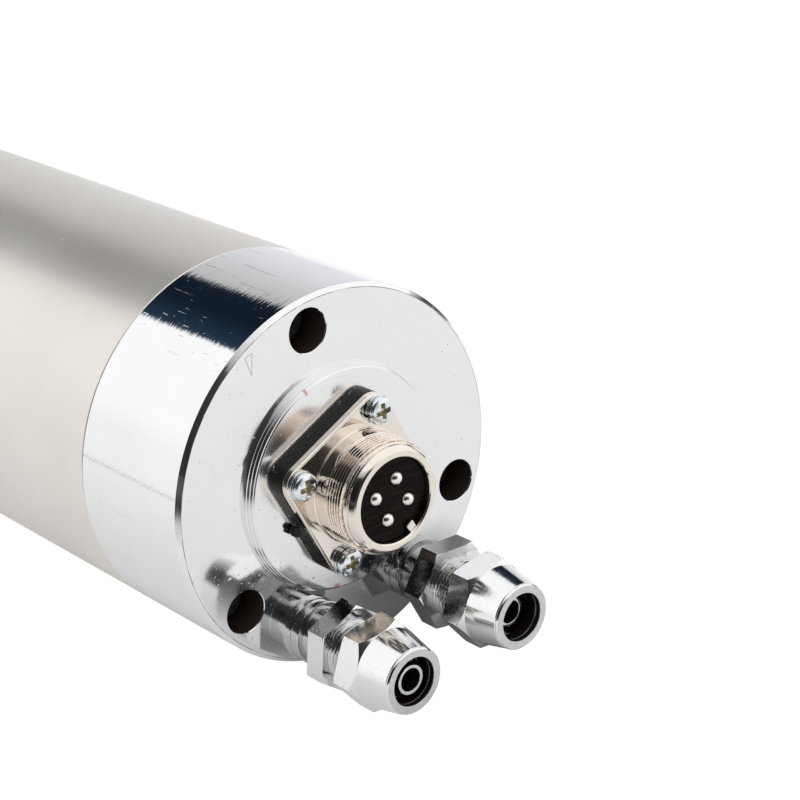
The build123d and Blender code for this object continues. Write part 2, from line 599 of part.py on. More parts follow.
# Four leads run from the solder cups out through the plate's windows to the windings.
LEAD_R = 0.8
LEAD_STRAIGHT = 9.0            # straight run behind each cup
LEAD_SPREAD = 5.0              # length over which the leads move out to the windows
LEAD_BEND_R = 3.0
with BuildPart() as motor_leads:
    for angle in FLANGE_SCREW_ANGLES:
        inner, outer = around(PIN_CIRCLE_R, angle), around(WINDOW_CIRCLE_R, angle)
        cup = CUP_BACK - 2 * FIT
        bend = cup - LEAD_STRAIGHT
        winding = STATOR_REAR + END_TURN + 4 * FIT
        with BuildLine() as route:
            FilletPolyline((cup, *inner), (bend, *inner), (bend - LEAD_SPREAD, *outer), (winding, *outer),
                           radius=LEAD_BEND_R)
        with BuildSketch(Plane(origin=(cup, *inner), z_dir=(-1, 0, 0))) as lead:
            Circle(LEAD_R)
        sweep(lead.sketch, path=route.line)
save(motor_leads, "motor_leads")


# ---- front end ---------------------------------------------------------------------------------
BEARING_BORE_R = FRONT_BEARING["outer"] + PRESS_GAP / 2
HOUSING_BORE_R = 19.0
HOUSING_EDGE = 1.5
HOUSING_HEAD_DEPTH = 5.5       # counterbore for the housing screws
HOUSING_HEAD_R = 3.5
HOUSING_SHANK_R = 2.1
HOUSING_SCREW_END = 16.0
COVER_TAP = dict(radius=1.5, depth=7.0)
HOUSING_SPIGOT = 22.0          # how far the front housing reaches into the core
HOUSING_SCREW_R = 34.5
HOUSING_SCREWS = 6
COVER_R = 29.0
COVER_SCREW_R = 26.2
COVER_SCREWS = 4
COVER_BORE_R = 14.4
FRONT_STEP = FRONT_BEARINGS[0]
with BuildPart() as front_housing:
    turn([(FLANGE_FRONT, HOUSING_BORE_R), (FLANGE_FRONT, BODY_R - HOUSING_EDGE),
          (FLANGE_FRONT + HOUSING_EDGE, BODY_R), (-SEAM_CHAMFER, BODY_R), (0, BODY_R - SEAM_CHAMFER),
          (0, CORE_R), (CORE_FRONT - FIT, CORE_R), (CORE_FRONT - FIT, CORE_BORE_R - FIT),
          (HOUSING_SPIGOT, CORE_BORE_R - FIT), (HOUSING_SPIGOT, BEARING_BORE_R),
          (FRONT_STEP, BEARING_BORE_R), (FRONT_STEP, HOUSING_BORE_R)])
    for i in range(HOUSING_SCREWS):
        place = around(HOUSING_SCREW_R, 360.0 / HOUSING_SCREWS * i)
        bottom = FLANGE_FRONT + HOUSING_HEAD_DEPTH
        rod(FLANGE_FRONT, bottom, HOUSING_HEAD_R + BREAK, *place, mode=Mode.SUBTRACT)
        rod(bottom, FLANGE_FRONT + HOUSING_SCREW_END, HOUSING_SHANK_R, *place, mode=Mode.SUBTRACT)
    for i in range(COVER_SCREWS):
        place = around(COVER_SCREW_R, 45.0 + 360.0 / COVER_SCREWS * i)
        rod(FLANGE_FRONT, FLANGE_FRONT + COVER_TAP["depth"], COVER_TAP["radius"], *place, mode=Mode.SUBTRACT)
save(front_housing, "front_housing")

HOUSING_HEAD_HEIGHT = 4.0
HOUSING_SOCKET = dict(flats=3.0, depth=2.0)
with BuildPart() as housing_screws:
    bottom = FLANGE_FRONT + HOUSING_HEAD_DEPTH
    head = bottom - HOUSING_HEAD_HEIGHT
    tip = FLANGE_FRONT + HOUSING_SCREW_END - 1.0
    shank = HOUSING_SHANK_R - FIT
    for i in range(HOUSING_SCREWS):
        place = around(HOUSING_SCREW_R, 360.0 / HOUSING_SCREWS * i)
        turn([(head, 0), (head, HOUSING_HEAD_R - BREAK), (head + BREAK, HOUSING_HEAD_R),
              (bottom, HOUSING_HEAD_R), (bottom, shank), (tip, shank), (tip, 0)], *place)
        hexagon(head, head + HOUSING_SOCKET["depth"], HOUSING_SOCKET["flats"], *place, mode=Mode.SUBTRACT)
save(housing_screws, "housing_screws")

# The labyrinth cover keeps dust from the front bearings.
COVER_EDGE = 1.0
SINK_R = 3.1                   # countersunk screw heads
SINK_DEPTH = 1.6
SINK_TAPER = 41.0
COVER_SHANK_R = 1.4
COVER_SOCKET = dict(flats=2.0, depth=1.4)
spigot_r = HOUSING_BORE_R - 2 * FIT
spigot_end = FRONT_STEP - 1.0
with BuildPart() as front_cover:
    turn([(COVER_FRONT, COVER_BORE_R), (COVER_FRONT, COVER_R - COVER_EDGE),
          (COVER_FRONT + COVER_EDGE, COVER_R), (FLANGE_FRONT, COVER_R), (FLANGE_FRONT, spigot_r),
          (spigot_end, spigot_r), (spigot_end, COVER_BORE_R)])
    for i in range(COVER_SCREWS):
        place = around(COVER_SCREW_R, 45.0 + 360.0 / COVER_SCREWS * i)
        rod(COVER_FRONT, FLANGE_FRONT, COVER_SHANK_R + 0.3, *place, mode=Mode.SUBTRACT)
        with BuildSketch(station(COVER_FRONT, *place)) as sink:
            Circle(SINK_R)
        extrude(sink.sketch, amount=SINK_DEPTH, taper=SINK_TAPER, mode=Mode.SUBTRACT)
save(front_cover, "front_cover")

with BuildPart() as cover_screws:
    head = COVER_FRONT + 2 * FIT
    tip = FLANGE_FRONT + COVER_TAP["depth"] - 1.0
    for i in range(COVER_SCREWS):
        place = around(COVER_SCREW_R, 45.0 + 360.0 / COVER_SCREWS * i)
        turn([(head, 0), (head, SINK_R - BREAK / 2), (COVER_FRONT + BREAK, SINK_R - BREAK),
              (COVER_FRONT + SINK_DEPTH, COVER_SHANK_R), (tip, COVER_SHANK_R), (tip, 0)], *place)
        hexagon(COVER_FRONT, COVER_FRONT + COVER_SOCKET["depth"], COVER_SOCKET["flats"], *place,
                mode=Mode.SUBTRACT)
save(cover_screws, "cover_screws")

# The shaft: collet seat and nose thread, slinger, bearing seats, rotor seat and rear seat.
LOCK_NUT_AT = 20.4
LOCK_NUT_LENGTH = 7.0
SLINGER_R = 17.5
SEAT_DEPTH = 27.5
SEAT_SMALL_R = COLLET_SEAT_R - SEAT_DEPTH * tan(radians(COLLET_ANGLE))
DRILL_R = 5.8
DRILL_DEPTH = 12.0
NOSE_EDGE = 0.8
NOSE_THREAD_END = -23.0
RUNOUT_R, RUNOUT_END = 11.4, -21.0
SLINGER_EDGE = 0.5
SLINGER_GAP = 0.8              # between the slinger and the cover
JOURNAL_R = COVER_BORE_R - BREAK
SHOULDER_R = 10.0              # stops the rear inner race
REAR_SEAT_LENGTH = 15.0
with BuildPart() as shaft:
    slinger_end = COVER_FRONT - SLINGER_GAP
    lock_nut_end = LOCK_NUT_AT + LOCK_NUT_LENGTH
    rotor_seat_end = STATOR_REAR + 2.0
    shaft_end = REAR_BEARING_AT + REAR_SEAT_LENGTH
    turn([(SHAFT_NOSE, 0), (SHAFT_NOSE, NUT_THREAD_R - NOSE_EDGE), (SHAFT_NOSE + NOSE_EDGE, NUT_THREAD_R),
          (NOSE_THREAD_END, NUT_THREAD_R), (NOSE_THREAD_END, RUNOUT_R), (RUNOUT_END, RUNOUT_R),
          (RUNOUT_END, SLINGER_R - SLINGER_EDGE), (RUNOUT_END + SLINGER_EDGE, SLINGER_R),
          (slinger_end, SLINGER_R), (slinger_end, JOURNAL_R), (FRONT_STEP, JOURNAL_R),
          (FRONT_STEP, SEAT_R), (LOCK_NUT_AT, SEAT_R), (LOCK_NUT_AT, SEAT_R - 2 * FIT),
          (lock_nut_end, SEAT_R - 2 * FIT), (lock_nut_end, ROTOR_SEAT_R), (rotor_seat_end, ROTOR_SEAT_R),
          (rotor_seat_end, SHOULDER_R), (REAR_BEARING_AT, SHOULDER_R), (REAR_BEARING_AT, REAR_SEAT_R),
          (shaft_end - 1.0, REAR_SEAT_R), (shaft_end, REAR_SEAT_R - 1.0), (shaft_end, 0)])
    seat_end = SHAFT_NOSE + SEAT_DEPTH
    drill_end = seat_end + DRILL_DEPTH
    turn([(SHAFT_NOSE, 0), (SHAFT_NOSE, COLLET_SEAT_R), (seat_end, SEAT_SMALL_R), (seat_end, DRILL_R),
          (drill_end, DRILL_R), (drill_end + DRILL_R / 3, 0)], mode=Mode.SUBTRACT)
save(shaft, "shaft")

LOCK_NUT_R = 18.5
LOCK_NUT_EDGE = 1.0
SPANNER_SLOTS = 4
SPANNER_SLOT = (4.0, 5.0)
with BuildPart() as lock_nut:
    turn([(LOCK_NUT_AT, SEAT_R), (LOCK_NUT_AT, LOCK_NUT_R), (lock_nut_end - LOCK_NUT_EDGE, LOCK_NUT_R),
          (lock_nut_end, LOCK_NUT_R - LOCK_NUT_EDGE), (lock_nut_end, SEAT_R)])
    with BuildSketch(station(LOCK_NUT_AT)) as spanner_slots:
        with PolarLocations(LOCK_NUT_R, SPANNER_SLOTS):
            Rectangle(*SPANNER_SLOT)
    extrude(spanner_slots.sketch, amount=LOCK_NUT_LENGTH, mode=Mode.SUBTRACT)
save(lock_nut, "lock_nut")

# ER20 collet: a long 8 degree cone, a grooved head with a 30 degree front cone, and slits
# cut from both ends in turn.
COLLET_LENGTH = 31.5
COLLET_FRONT = SHAFT_NOSE - 5.0
COLLET_BACK = COLLET_FRONT + COLLET_LENGTH
COLLET_GAP = 0.08
COLLET_MOUTH_R = 9.2           # small end of the collet's front cone
FRONT_CONE = 2.1               # length of the front cone
GROOVE_FROM, GROOVE_TO = SHAFT_NOSE - 2.2, SHAFT_NOSE - 0.4
GROOVE_R = 9.0
HEAD_RIM_R = 10.5
SLITS = 6
SLIT = 0.5
SLIT_TURN = 15.0               # the first slit stands off the Y axis
SLIT_LENGTH = 24.0
with BuildPart() as collet:
    cone_r = COLLET_SEAT_R - COLLET_GAP
    back_r = cone_r - (COLLET_BACK - SHAFT_NOSE) * tan(radians(COLLET_ANGLE))
    turn([(COLLET_FRONT, SHANK_R), (COLLET_FRONT, COLLET_MOUTH_R), (COLLET_FRONT + FRONT_CONE, HEAD_RIM_R),
          (GROOVE_FROM, HEAD_RIM_R), (GROOVE_FROM, GROOVE_R), (GROOVE_TO, GROOVE_R), (GROOVE_TO, cone_r),
          (SHAFT_NOSE, cone_r), (COLLET_BACK - BREAK, back_r + FIT), (COLLET_BACK, back_r - BREAK),
          (COLLET_BACK, SHANK_R)])
    for i in range(SLITS):
        turned = SLIT_TURN + 360.0 / SLITS * i
        for start, angle in ((COLLET_FRONT, turned), (COLLET_BACK - SLIT_LENGTH, turned + 180.0 / SLITS)):
            y, z = around(HEAD_RIM_R / 2 + OVERCUT, angle)
            with BuildSketch(station(start, y, z)) as slit:
                Rectangle(HEAD_RIM_R + 2 * OVERCUT, SLIT, rotation=angle)
            extrude(slit.sketch, amount=SLIT_LENGTH, mode=Mode.SUBTRACT)
save(collet, "collet")

# The collet nut: nose thread, a ring that drops into the collet's groove, and spanner flutes.
NUT_FRONT = COLLET_FRONT - 2.5
NUT_BACK = NUT_FRONT + 19.0
NUT_FRONT_BORE_R = 9.0
NUT_FRONT_CONE = (2.2, 3.5)    # length and depth of the nut's front chamfer
NUT_EDGE = 1.0
RING_IN_R = HEAD_RIM_R - 1.2   # the pulling ring inside the collet's groove
RING_GAP = 0.15
FLUTES = 6
FLUTE_R = 2.6
FLUTE_CIRCLE_R = NUT_R + 0.9
FLUTE_STOP = 4.0               # the flutes end this far before the nut's back
with BuildPart() as collet_nut:
    cone_length, cone_depth = NUT_FRONT_CONE
    thread_r, rim_r = NUT_THREAD_R + 2 * FIT, HEAD_RIM_R + 2 * FIT
    thread_front, ring_back = SHAFT_NOSE - 0.2, GROOVE_TO - 0.2
    turn([(NUT_FRONT, NUT_FRONT_BORE_R), (NUT_FRONT, NUT_R - cone_depth), (NUT_FRONT + cone_length, NUT_R),
          (NUT_BACK - NUT_EDGE, NUT_R), (NUT_BACK, NUT_R - NUT_EDGE), (NUT_BACK, thread_r),
          (thread_front, thread_r), (thread_front, rim_r), (ring_back, rim_r), (ring_back, RING_IN_R),
          (GROOVE_FROM + RING_GAP, RING_IN_R), (GROOVE_FROM + RING_GAP, rim_r),
          (COLLET_FRONT + FRONT_CONE - FIT, rim_r), (COLLET_FRONT - 2 * FIT, COLLET_MOUTH_R)])
    with BuildSketch(station(NUT_FRONT)) as flutes:
        with PolarLocations(FLUTE_CIRCLE_R, FLUTES):
            Circle(FLUTE_R)
    extrude(flutes.sketch, amount=NUT_BACK - NUT_FRONT - FLUTE_STOP, mode=Mode.SUBTRACT)
save(collet_nut, "collet_nut")
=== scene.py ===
"""Looks of the water-cooled spindle: turned and polished steel, plated fittings, rubber and plastic."""
from math import cos, pi, radians, sin, sqrt, tan

import bmesh
import bpy
from mathutils import Matrix, Vector


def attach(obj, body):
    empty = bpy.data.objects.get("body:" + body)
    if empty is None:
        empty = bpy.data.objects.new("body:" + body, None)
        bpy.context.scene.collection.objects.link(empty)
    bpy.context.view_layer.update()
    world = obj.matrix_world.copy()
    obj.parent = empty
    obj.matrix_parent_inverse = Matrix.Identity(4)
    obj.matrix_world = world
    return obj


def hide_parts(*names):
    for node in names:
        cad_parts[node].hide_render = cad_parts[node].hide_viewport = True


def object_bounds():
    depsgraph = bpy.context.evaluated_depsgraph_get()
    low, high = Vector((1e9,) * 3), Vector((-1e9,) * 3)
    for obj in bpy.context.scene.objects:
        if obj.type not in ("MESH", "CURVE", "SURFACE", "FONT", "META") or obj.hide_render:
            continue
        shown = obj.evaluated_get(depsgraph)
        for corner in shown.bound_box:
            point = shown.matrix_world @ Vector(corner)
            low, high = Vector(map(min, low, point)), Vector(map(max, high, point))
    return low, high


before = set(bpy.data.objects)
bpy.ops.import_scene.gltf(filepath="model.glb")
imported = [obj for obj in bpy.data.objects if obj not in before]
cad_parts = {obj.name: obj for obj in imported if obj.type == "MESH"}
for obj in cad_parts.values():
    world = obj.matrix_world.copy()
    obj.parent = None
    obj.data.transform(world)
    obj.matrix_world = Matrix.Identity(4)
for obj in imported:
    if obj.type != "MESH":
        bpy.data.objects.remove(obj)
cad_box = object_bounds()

MM = 0.001

# ---- sizes shared with the solids, in millimetres ----
BODY_R = 40.0
REAR_FACE = 213.0
SEAM = 180.3
SLEEVE_BORE_R = 37.0
CORE_R = 36.95
CAP_FRONT = 176.05
CAP_CAVITY_R = 27.5
EDGE, FACE_EDGE_R = 0.2, 39.1
STAIN_TURNS = radians(116.0), radians(97.0)  # one each way round from Y
BOSS_BASE_R, BOSS_TOP_R, BOSS_TOP = 24.2, 23.2, REAR_FACE + 2.3
FLANGE_BACK, FLANGE_FACE = REAR_FACE + 4.6, REAR_FACE + 6.7
FLANGE_SIDE, FLANGE_CORNER_R, FLANGE_TURN = 29.2, 4.2, 30.0
FLANGE_SCREW_R, CONTACT_TURN = 15.8, FLANGE_TURN + 45.0
BARREL_R, MOUTH, MOUTH_R = 11.9, REAR_FACE + 17.6, 8.95
SHELL_TAIL = REAR_FACE - 6.0
THREAD_FROM, THREAD_TO, THREAD_ROOT_R = REAR_FACE + 10.3, REAR_FACE + 15.3, 11.35
INSERT_FACE = MOUTH - 1.5
KEY_TURN = radians(-57.0)
PIN_CIRCLE_R, PIN_R, PIN_TIP = 4.3, 1.5, MOUTH - 0.3
SCREW_CIRCLE_R, FIRST_SCREW = 33.3, 103.1
COUNTERBORE_R, COUNTERBORE_FLOOR = 4.6, REAR_FACE - 12.0
PORT_R = 33.0
PORTS = {"inlet": -101.5, "outlet": -52.3}  # degrees from Y towards Z
HEX_FLATS = 17.0
HEX_CORNER_R = HEX_FLATS / sqrt(3)
HEXES_FROM, HEXES_TO = REAR_FACE + 7.5, REAR_FACE + 13.2
CAST_Z, BETWEEN_PORTS_Y = -19.3, 6.0
HEX_START = {"inlet": 7.7, "outlet": 8.0}  # from the rear face
HEX_END = {"inlet": 12.6, "outlet": 13.0}
HEX_TURN = {"inlet": 27.0, "outlet": 0.5}
DARK_REFLECTION_FACES = [("inlet", 117.0, 0.62), ("outlet", 90.5, 0.60), ("outlet", 150.5, 0.88)]  # degrees, how dark: dark reflections painted on these hexagon faces
NUT_START = {"inlet": 16.9, "outlet": 19.2}
NUT_TURN = 13.0
NUT_HEX, NUT_LENGTH, NUT_MOUTH_R = 5.3, 13.6, 5.07
SEAL_TOP, STEM_END = REAR_FACE + 2.4, REAR_FACE + 22.0
STEM_R, BARB_R, BARB_BORE_R, BARB_END = 6.35, 3.15, 2.45, REAR_FACE + 29.4
HOUSING_END, HOUSING_SCREW_R = -12, 34.5
COVER_END, COVER_SCREW_R = -17, 26.2
NOSE_R, CONE_SLOPE = 11.75, tan(radians(8.0))
MARK = [(-23.0, 30.2), (-21.4, 26.4), (-21.3, 30.9), (-23.0, 30.2)]  # a triangle scribed on the rear face


def around(radius, angle):
    """(y, z) of a point on a circle about the spindle axis."""
    return radius * cos(radians(angle)), radius * sin(radians(angle))


def rectangle(start, end, half):
    """Corners of a bar's section that runs outwards from start to end."""
    return [(start, -half), (end, -half), (end, half), (start, half)]


def swung(points, turn, at=(0.0, 0.0)):
    """The (y, z) points turned by that many radians, then moved."""
    return [(at[0] + u * cos(turn) - v * sin(turn), at[1] + u * sin(turn) + v * cos(turn)) for u, v in points]


def object_of(name, data=None):
    """A new object in the scene for that mesh, lamp or camera."""
    thing = bpy.data.objects.new(name, data or bpy.data.meshes.new(name))
    bpy.context.scene.collection.objects.link(thing)
    return thing


# ---- meshes ----
def softened(outline, radius, steps=3, closed=True):
    """The outline with each corner turned into a small arc of at most that radius."""
    points = [Vector(p) for p in outline]
    count, soft = len(points), []
    for i, point in enumerate(points):
        before, after = points[i - 1] - point, points[(i + 1) % count] - point
        end = not closed and i in (0, count - 1)
        if end or before.length < 1e-6 or after.length < 1e-6:
            soft.append(point)
            continue
        angle = before.angle(after)
        reach = radius / tan(angle / 2) if angle > 0.01 else 0
        reach = min(reach, 0.45 * before.length, 0.45 * after.length)
        if angle > pi - 0.12 or reach < 1e-4:
            soft.append(point)
            continue
        start, stop = point + before.normalized() * reach, point + after.normalized() * reach
        for k in range(steps + 1):
            t = k / steps
            soft.append((1 - t) ** 2 * start + 2 * t * (1 - t) * point + t * t * stop)
    return [tuple(p) for p in soft]


def piece_from(bm, name, sharp=32.0, weld=1e-4):
    """A finished object from a mesh drawn in millimetres."""
    if weld:
        bmesh.ops.remove_doubles(bm, verts=bm.verts, dist=weld)
    bmesh.ops.recalc_face_normals(bm, faces=bm.faces)
    bmesh.ops.scale(bm, vec=(MM, MM, MM), verts=bm.verts)
    mesh = bpy.data.meshes.new(name)
    bm.to_mesh(mesh)
    bm.free()
    smooth(mesh, sharp)
    return object_of(name, mesh)


def smooth(mesh, sharp):
    mesh.polygons.foreach_set("use_smooth", [True] * len(mesh.polygons))
    mesh.set_sharp_from_angle(angle=radians(sharp))
    mesh.update()


def spun(bm, outline, steps=160, at=(0.0, 0.0), closed=True):
    """Add the outline of (x, radius) points, spun about a line along X through at, to bm."""
    rings = []
    for x, radius in outline:
        if radius < 1e-6:
            rings.append([bm.verts.new((x, *at))])
        else:
            rings.append([bm.verts.new((x, at[0] + radius * cos(2 * pi * k / steps),
                                        at[1] + radius * sin(2 * pi * k / steps))) for k in range(steps)])
    pairs = list(zip(rings, rings[1:])) + ([(rings[-1], rings[0])] if closed else [])
    for one, two in pairs:
        if len(one) == len(two) == 1:
            continue
        for k in range(steps):
            n = (k + 1) % steps
            corners = [one[0]] if len(one) == 1 else [one[k], one[n]]
            corners += [two[0]] if len(two) == 1 else [two[n], two[k]]
            bm.faces.new(corners)
    return bm


def turned(name, outline, corner=0.15, steps=160, at=(0.0, 0.0), sharp=32.0, arc=3):
    """A turned piece with its corners broken."""
    on_axis = outline[0][1] < 1e-6 and outline[-1][1] < 1e-6
    return piece_from(spun(bmesh.new(), softened(outline, corner, arc, not on_axis), steps, at, not on_axis),
                      name, sharp)


def prism(bm, start, end, section, far=None):
    """Add a bar along X with that (y, z) section, and another at its far end if it tapers, to bm."""
    low = [bm.verts.new((start, y, z)) for y, z in section]
    high = [bm.verts.new((end, y, z)) for y, z in far or section]
    bm.faces.new(low[::-1])
    bm.faces.new(high)
    for k in range(len(section)):
        n = (k + 1) % len(section)
        bm.faces.new((low[k], low[n], high[n], high[k]))
    return bm


def block(name, *bars, weld=1e-4):
    """A piece made of bars along X, each as prism takes them."""
    bm = bmesh.new()
    for bar in bars:
        prism(bm, *bar)
    return piece_from(bm, name, weld=weld)


def polygon(sides, flats, turn, at=(0.0, 0.0)):
    """Corners of a regular polygon with that size across flats and a corner at turn degrees."""
    reach = flats / 2 / cos(pi / sides)
    return [(at[0] + reach * cos(radians(turn) + 2 * pi * k / sides),
             at[1] + reach * sin(radians(turn) + 2 * pi * k / sides)) for k in range(sides)]


def rounded_square(side, corner, turn, steps=10):
    """Outline of a square with round corners."""
    half, points = side / 2 - corner, []
    for k, (u, v) in enumerate(((1, 1), (-1, 1), (-1, -1), (1, -1))):
        for s in range(steps + 1):
            angle = radians(90 * k + 90 * s / steps)
            points.append((u * half + corner * cos(angle), v * half + corner * sin(angle)))
    return swung(points, radians(turn))


def holes(name, *sets):
    """A cutter of outlines spun about lines along X; a set is outline, steps, circle radius and angles."""
    bm = bmesh.new()
    for outline, steps, radius, angles in sets:
        for angle in angles:
            spun(bm, outline, steps, around(radius, angle), False)
    return piece_from(bm, name, weld=0)


def settle(piece, sharp=32.0):
    """Turn what the piece's modifiers make into its plain mesh."""
    depsgraph = bpy.context.evaluated_depsgraph_get()
    mesh = bpy.data.meshes.new_from_object(piece.evaluated_get(depsgraph), preserve_all_data_layers=True,
                                           depsgraph=depsgraph)
    piece.modifiers.clear()
    piece.data = mesh
    mesh.name = piece.name
    if sharp:
        smooth(mesh, sharp)
    return piece


def combined(piece, other, how="DIFFERENCE", sharp=32.0):
    """Cut, join or meet one solid with another, which is used up."""
    step = piece.modifiers.new("cut", "BOOLEAN")
    step.operation, step.object, step.solver = how, other, "EXACT"
    settle(piece, sharp)
    bpy.data.objects.remove(other)
    return piece


def eased(piece, width=0.12, angle=32.0, segments=2):
    """Break the piece's sharp edges and weight its normals to the large faces."""
    if width:
        step = piece.modifiers.new("edges", "BEVEL")
        step.width, step.segments, step.limit_method = width * MM, segments, "ANGLE"
        step.angle_limit, step.use_clamp_overlap, step.miter_outer = radians(angle), True, "MITER_ARC"
    step = piece.modifiers.new("normals", "WEIGHTED_NORMAL")
    step.keep_sharp, step.weight = True, 80
    return settle(piece, None)


# ---- node trees ----
def wire(tree, target, value):
    """Link a socket to a target socket, or set the target's own value."""
    if isinstance(value, Value):
        value = value.socket
    if isinstance(value, bpy.types.NodeSocket):
        tree.links.new(value, target)
    else:
        target.default_value = value


def cleared(owner):
    """The emptied node tree of a material or world."""
    owner.use_nodes = True
    owner.node_tree.nodes.clear()
    return owner.node_tree


def add_node(tree, kind, settings=None, sockets=None, out=0):
    """Add a node: settings first, then its sockets' values or links; returns one output."""
    node = tree.nodes.new(kind)
    settings = dict(settings or {})
    stops = settings.pop("stops", None)
    for key, value in settings.items():
        setattr(node, key, value)
    if stops:
        ramp = node.color_ramp
        while len(ramp.elements) < len(stops):
            ramp.elements.new(1.0)
        for element, (position, colour) in zip(ramp.elements, stops):
            element.position, element.color = position, (*colour, 1.0)
    for key, value in (sockets or {}).items():
        wire(tree, node.inputs[key], value)
    return node.outputs[out] if len(node.outputs) else node


def maths(tree, operation, *values, **settings):
    """The output of a Math node."""
    return add_node(tree, "ShaderNodeMath", {"operation": operation, **settings}, dict(enumerate(values)))


class Value:
    """A number socket of a material tree; arithmetic on it adds Math nodes."""

    def __init__(self, tree, socket):
        self.tree, self.socket = tree, socket

    def step(self, operation, *others, **settings):
        return Value(self.tree, maths(self.tree, operation, self, *others, **settings))

    def __add__(self, other):
        return self.step("ADD", other)

    def __sub__(self, other):
        return self.step("SUBTRACT", other)

    def __mul__(self, other):
        return self.step("MULTIPLY", other)

    def __pow__(self, other):
        return self.step("POWER", other)

    def __rsub__(self, other):
        return (self * -1.0) + other

    __radd__ = __add__
    __rmul__ = __mul__

    def above(self, level, width):
        """0 below the level, 1 above it, with a soft edge."""
        return Value(self.tree, add_node(self.tree, "ShaderNodeMapRange", {"interpolation_type": "SMOOTHSTEP"},
                                         {0: self, 1: level - width, 2: level + width}))

    def below(self, level, width):
        """1 below the level, 0 above it, with a soft edge."""
        return 1.0 - self.above(level, width)


class Finish:
    """A material being written, on object coordinates in millimetres."""

    def __init__(self, name):
        self.material = bpy.data.materials.new(name)
        self.tree = cleared(self.material)
        place = self.node("ShaderNodeTexCoord", out=3)
        self.mm = self.node("ShaderNodeVectorMath", {"operation": "SCALE"}, {0: place, "Scale": 1000.0})
        self.tone = self.bumps = None

    def node(self, kind, settings=None, sockets=None, out=0):
        return add_node(self.tree, kind, settings, sockets, out)

    def number(self, socket):
        return Value(self.tree, socket)

    def placed(self, move=(0, 0, 0), turn=(0, 0, 0), stretch=(1, 1, 1), vector=None):
        """The coordinates moved, turned (degrees) and stretched."""
        moved = self.node("ShaderNodeMapping", None, {"Vector": vector or self.mm, "Location": move})
        return self.node("ShaderNodeMapping", None,
                         {"Vector": moved, "Rotation": [radians(a) for a in turn], "Scale": stretch})

    def noise(self, scale, detail=2.0, vector=None, rough=0.5, **place):
        vector = self.placed(vector=vector, **place) if place else vector or self.mm
        return self.number(self.node("ShaderNodeTexNoise", None,
                                     {"Vector": vector, "Scale": scale, "Detail": detail, "Roughness": rough}))

    def specks(self, scale, size, vector=None, **place):
        """Small scattered spots: 1 inside each."""
        vector = self.placed(vector=vector, **place) if place else vector or self.mm
        far = self.number(self.node("ShaderNodeTexVoronoi", {"feature": "F1"},
                                    {"Vector": vector, "Scale": scale, "Randomness": 1.0}))
        return far.below(size, size * 0.35)

    def hairlines(self, scale, turn, level=0.70, long=40.0):
        """Rare long thin scratches in one direction: 1 on each."""
        line = self.noise(scale, 1.0, turn=turn, stretch=(1.0 / long, 1.0, 1.0))
        breaks = self.noise(scale * 0.12, 1.0)
        return line.above(level, 0.012) * breaks.above(0.52, 0.06)

    def from_ring(self, radius, first, count):
        """Distance in millimetres from the nearest of the places set evenly on a circle round the axis."""
        reach, angle = self.about()
        share = 360.0 / count
        folded = (angle * (180.0 / pi) + (720.0 - first + share / 2)).step("MODULO", share) - share / 2
        folded = folded * (pi / 180.0)
        across, up = reach * folded.step("COSINE") - radius, reach * folded.step("SINE")
        return (across * across + up * up) ** 0.5

    def stroke(self, start, end):
        """Distance in millimetres from a straight stroke between two (y, z) points."""
        _, y, z = self.axes()
        run = Vector(end) - Vector(start)
        y, z = y - start[0], z - start[1]
        along = ((y * run.x + z * run.y) * (1.0 / run.length_squared)).step("ADD", 0.0, use_clamp=True)
        y, z = y - along * run.x, z - along * run.y
        return (y * y + z * z) ** 0.5

    def axes(self):
        """x, y and z in millimetres."""
        split = self.node("ShaderNodeSeparateXYZ", None, {0: self.mm}, 0).node
        return [self.number(split.outputs[i]) for i in range(3)]

    def about(self, at=(0.0, 0.0)):
        """Distance from a line along X and the angle round it, in radians."""
        _, y, z = self.axes()
        y, z = y - at[0], z - at[1]
        return (y * y + z * z) ** 0.5, z.step("ARCTAN2", y)

    def paint(self, amount, *colours):
        """Lay the last colour where amount is 1 over the one before it, or over what is painted so far."""
        under, over = [(*c, 1.0) if isinstance(c, tuple) else c for c in (self.tone, *colours)[-2:]]
        self.tone = self.node("ShaderNodeMix", {"data_type": "RGBA", "clamp_factor": True},
                              {0: amount, 6: under, 7: over}, 2)

    def bump(self, height, depth, strength=1.0):
        """Add relief: height 0..1 over that depth in millimetres."""
        sockets = {"Height": height, "Distance": depth * MM, "Strength": strength}
        if self.bumps:
            sockets["Normal"] = self.bumps
        self.bumps = self.node("ShaderNodeBump", None, sockets)

    def surface(self, roughness, metallic=1.0, **constants):
        """Close the material with one shader; constants go on the shader's own sockets."""
        shader = self.tree.nodes.new("ShaderNodeBsdfPrincipled")
        sockets = {"Base Color": self.tone, "Roughness": roughness, "Metallic": metallic} | {
            key.replace("_", " "): value for key, value in constants.items()}
        if self.bumps:
            sockets["Normal"] = self.bumps
        for key, value in sockets.items():
            wire(self.tree, shader.inputs[key], value)
        self.node("ShaderNodeOutputMaterial", None, {"Surface": shader.outputs[0]})
        return self.material


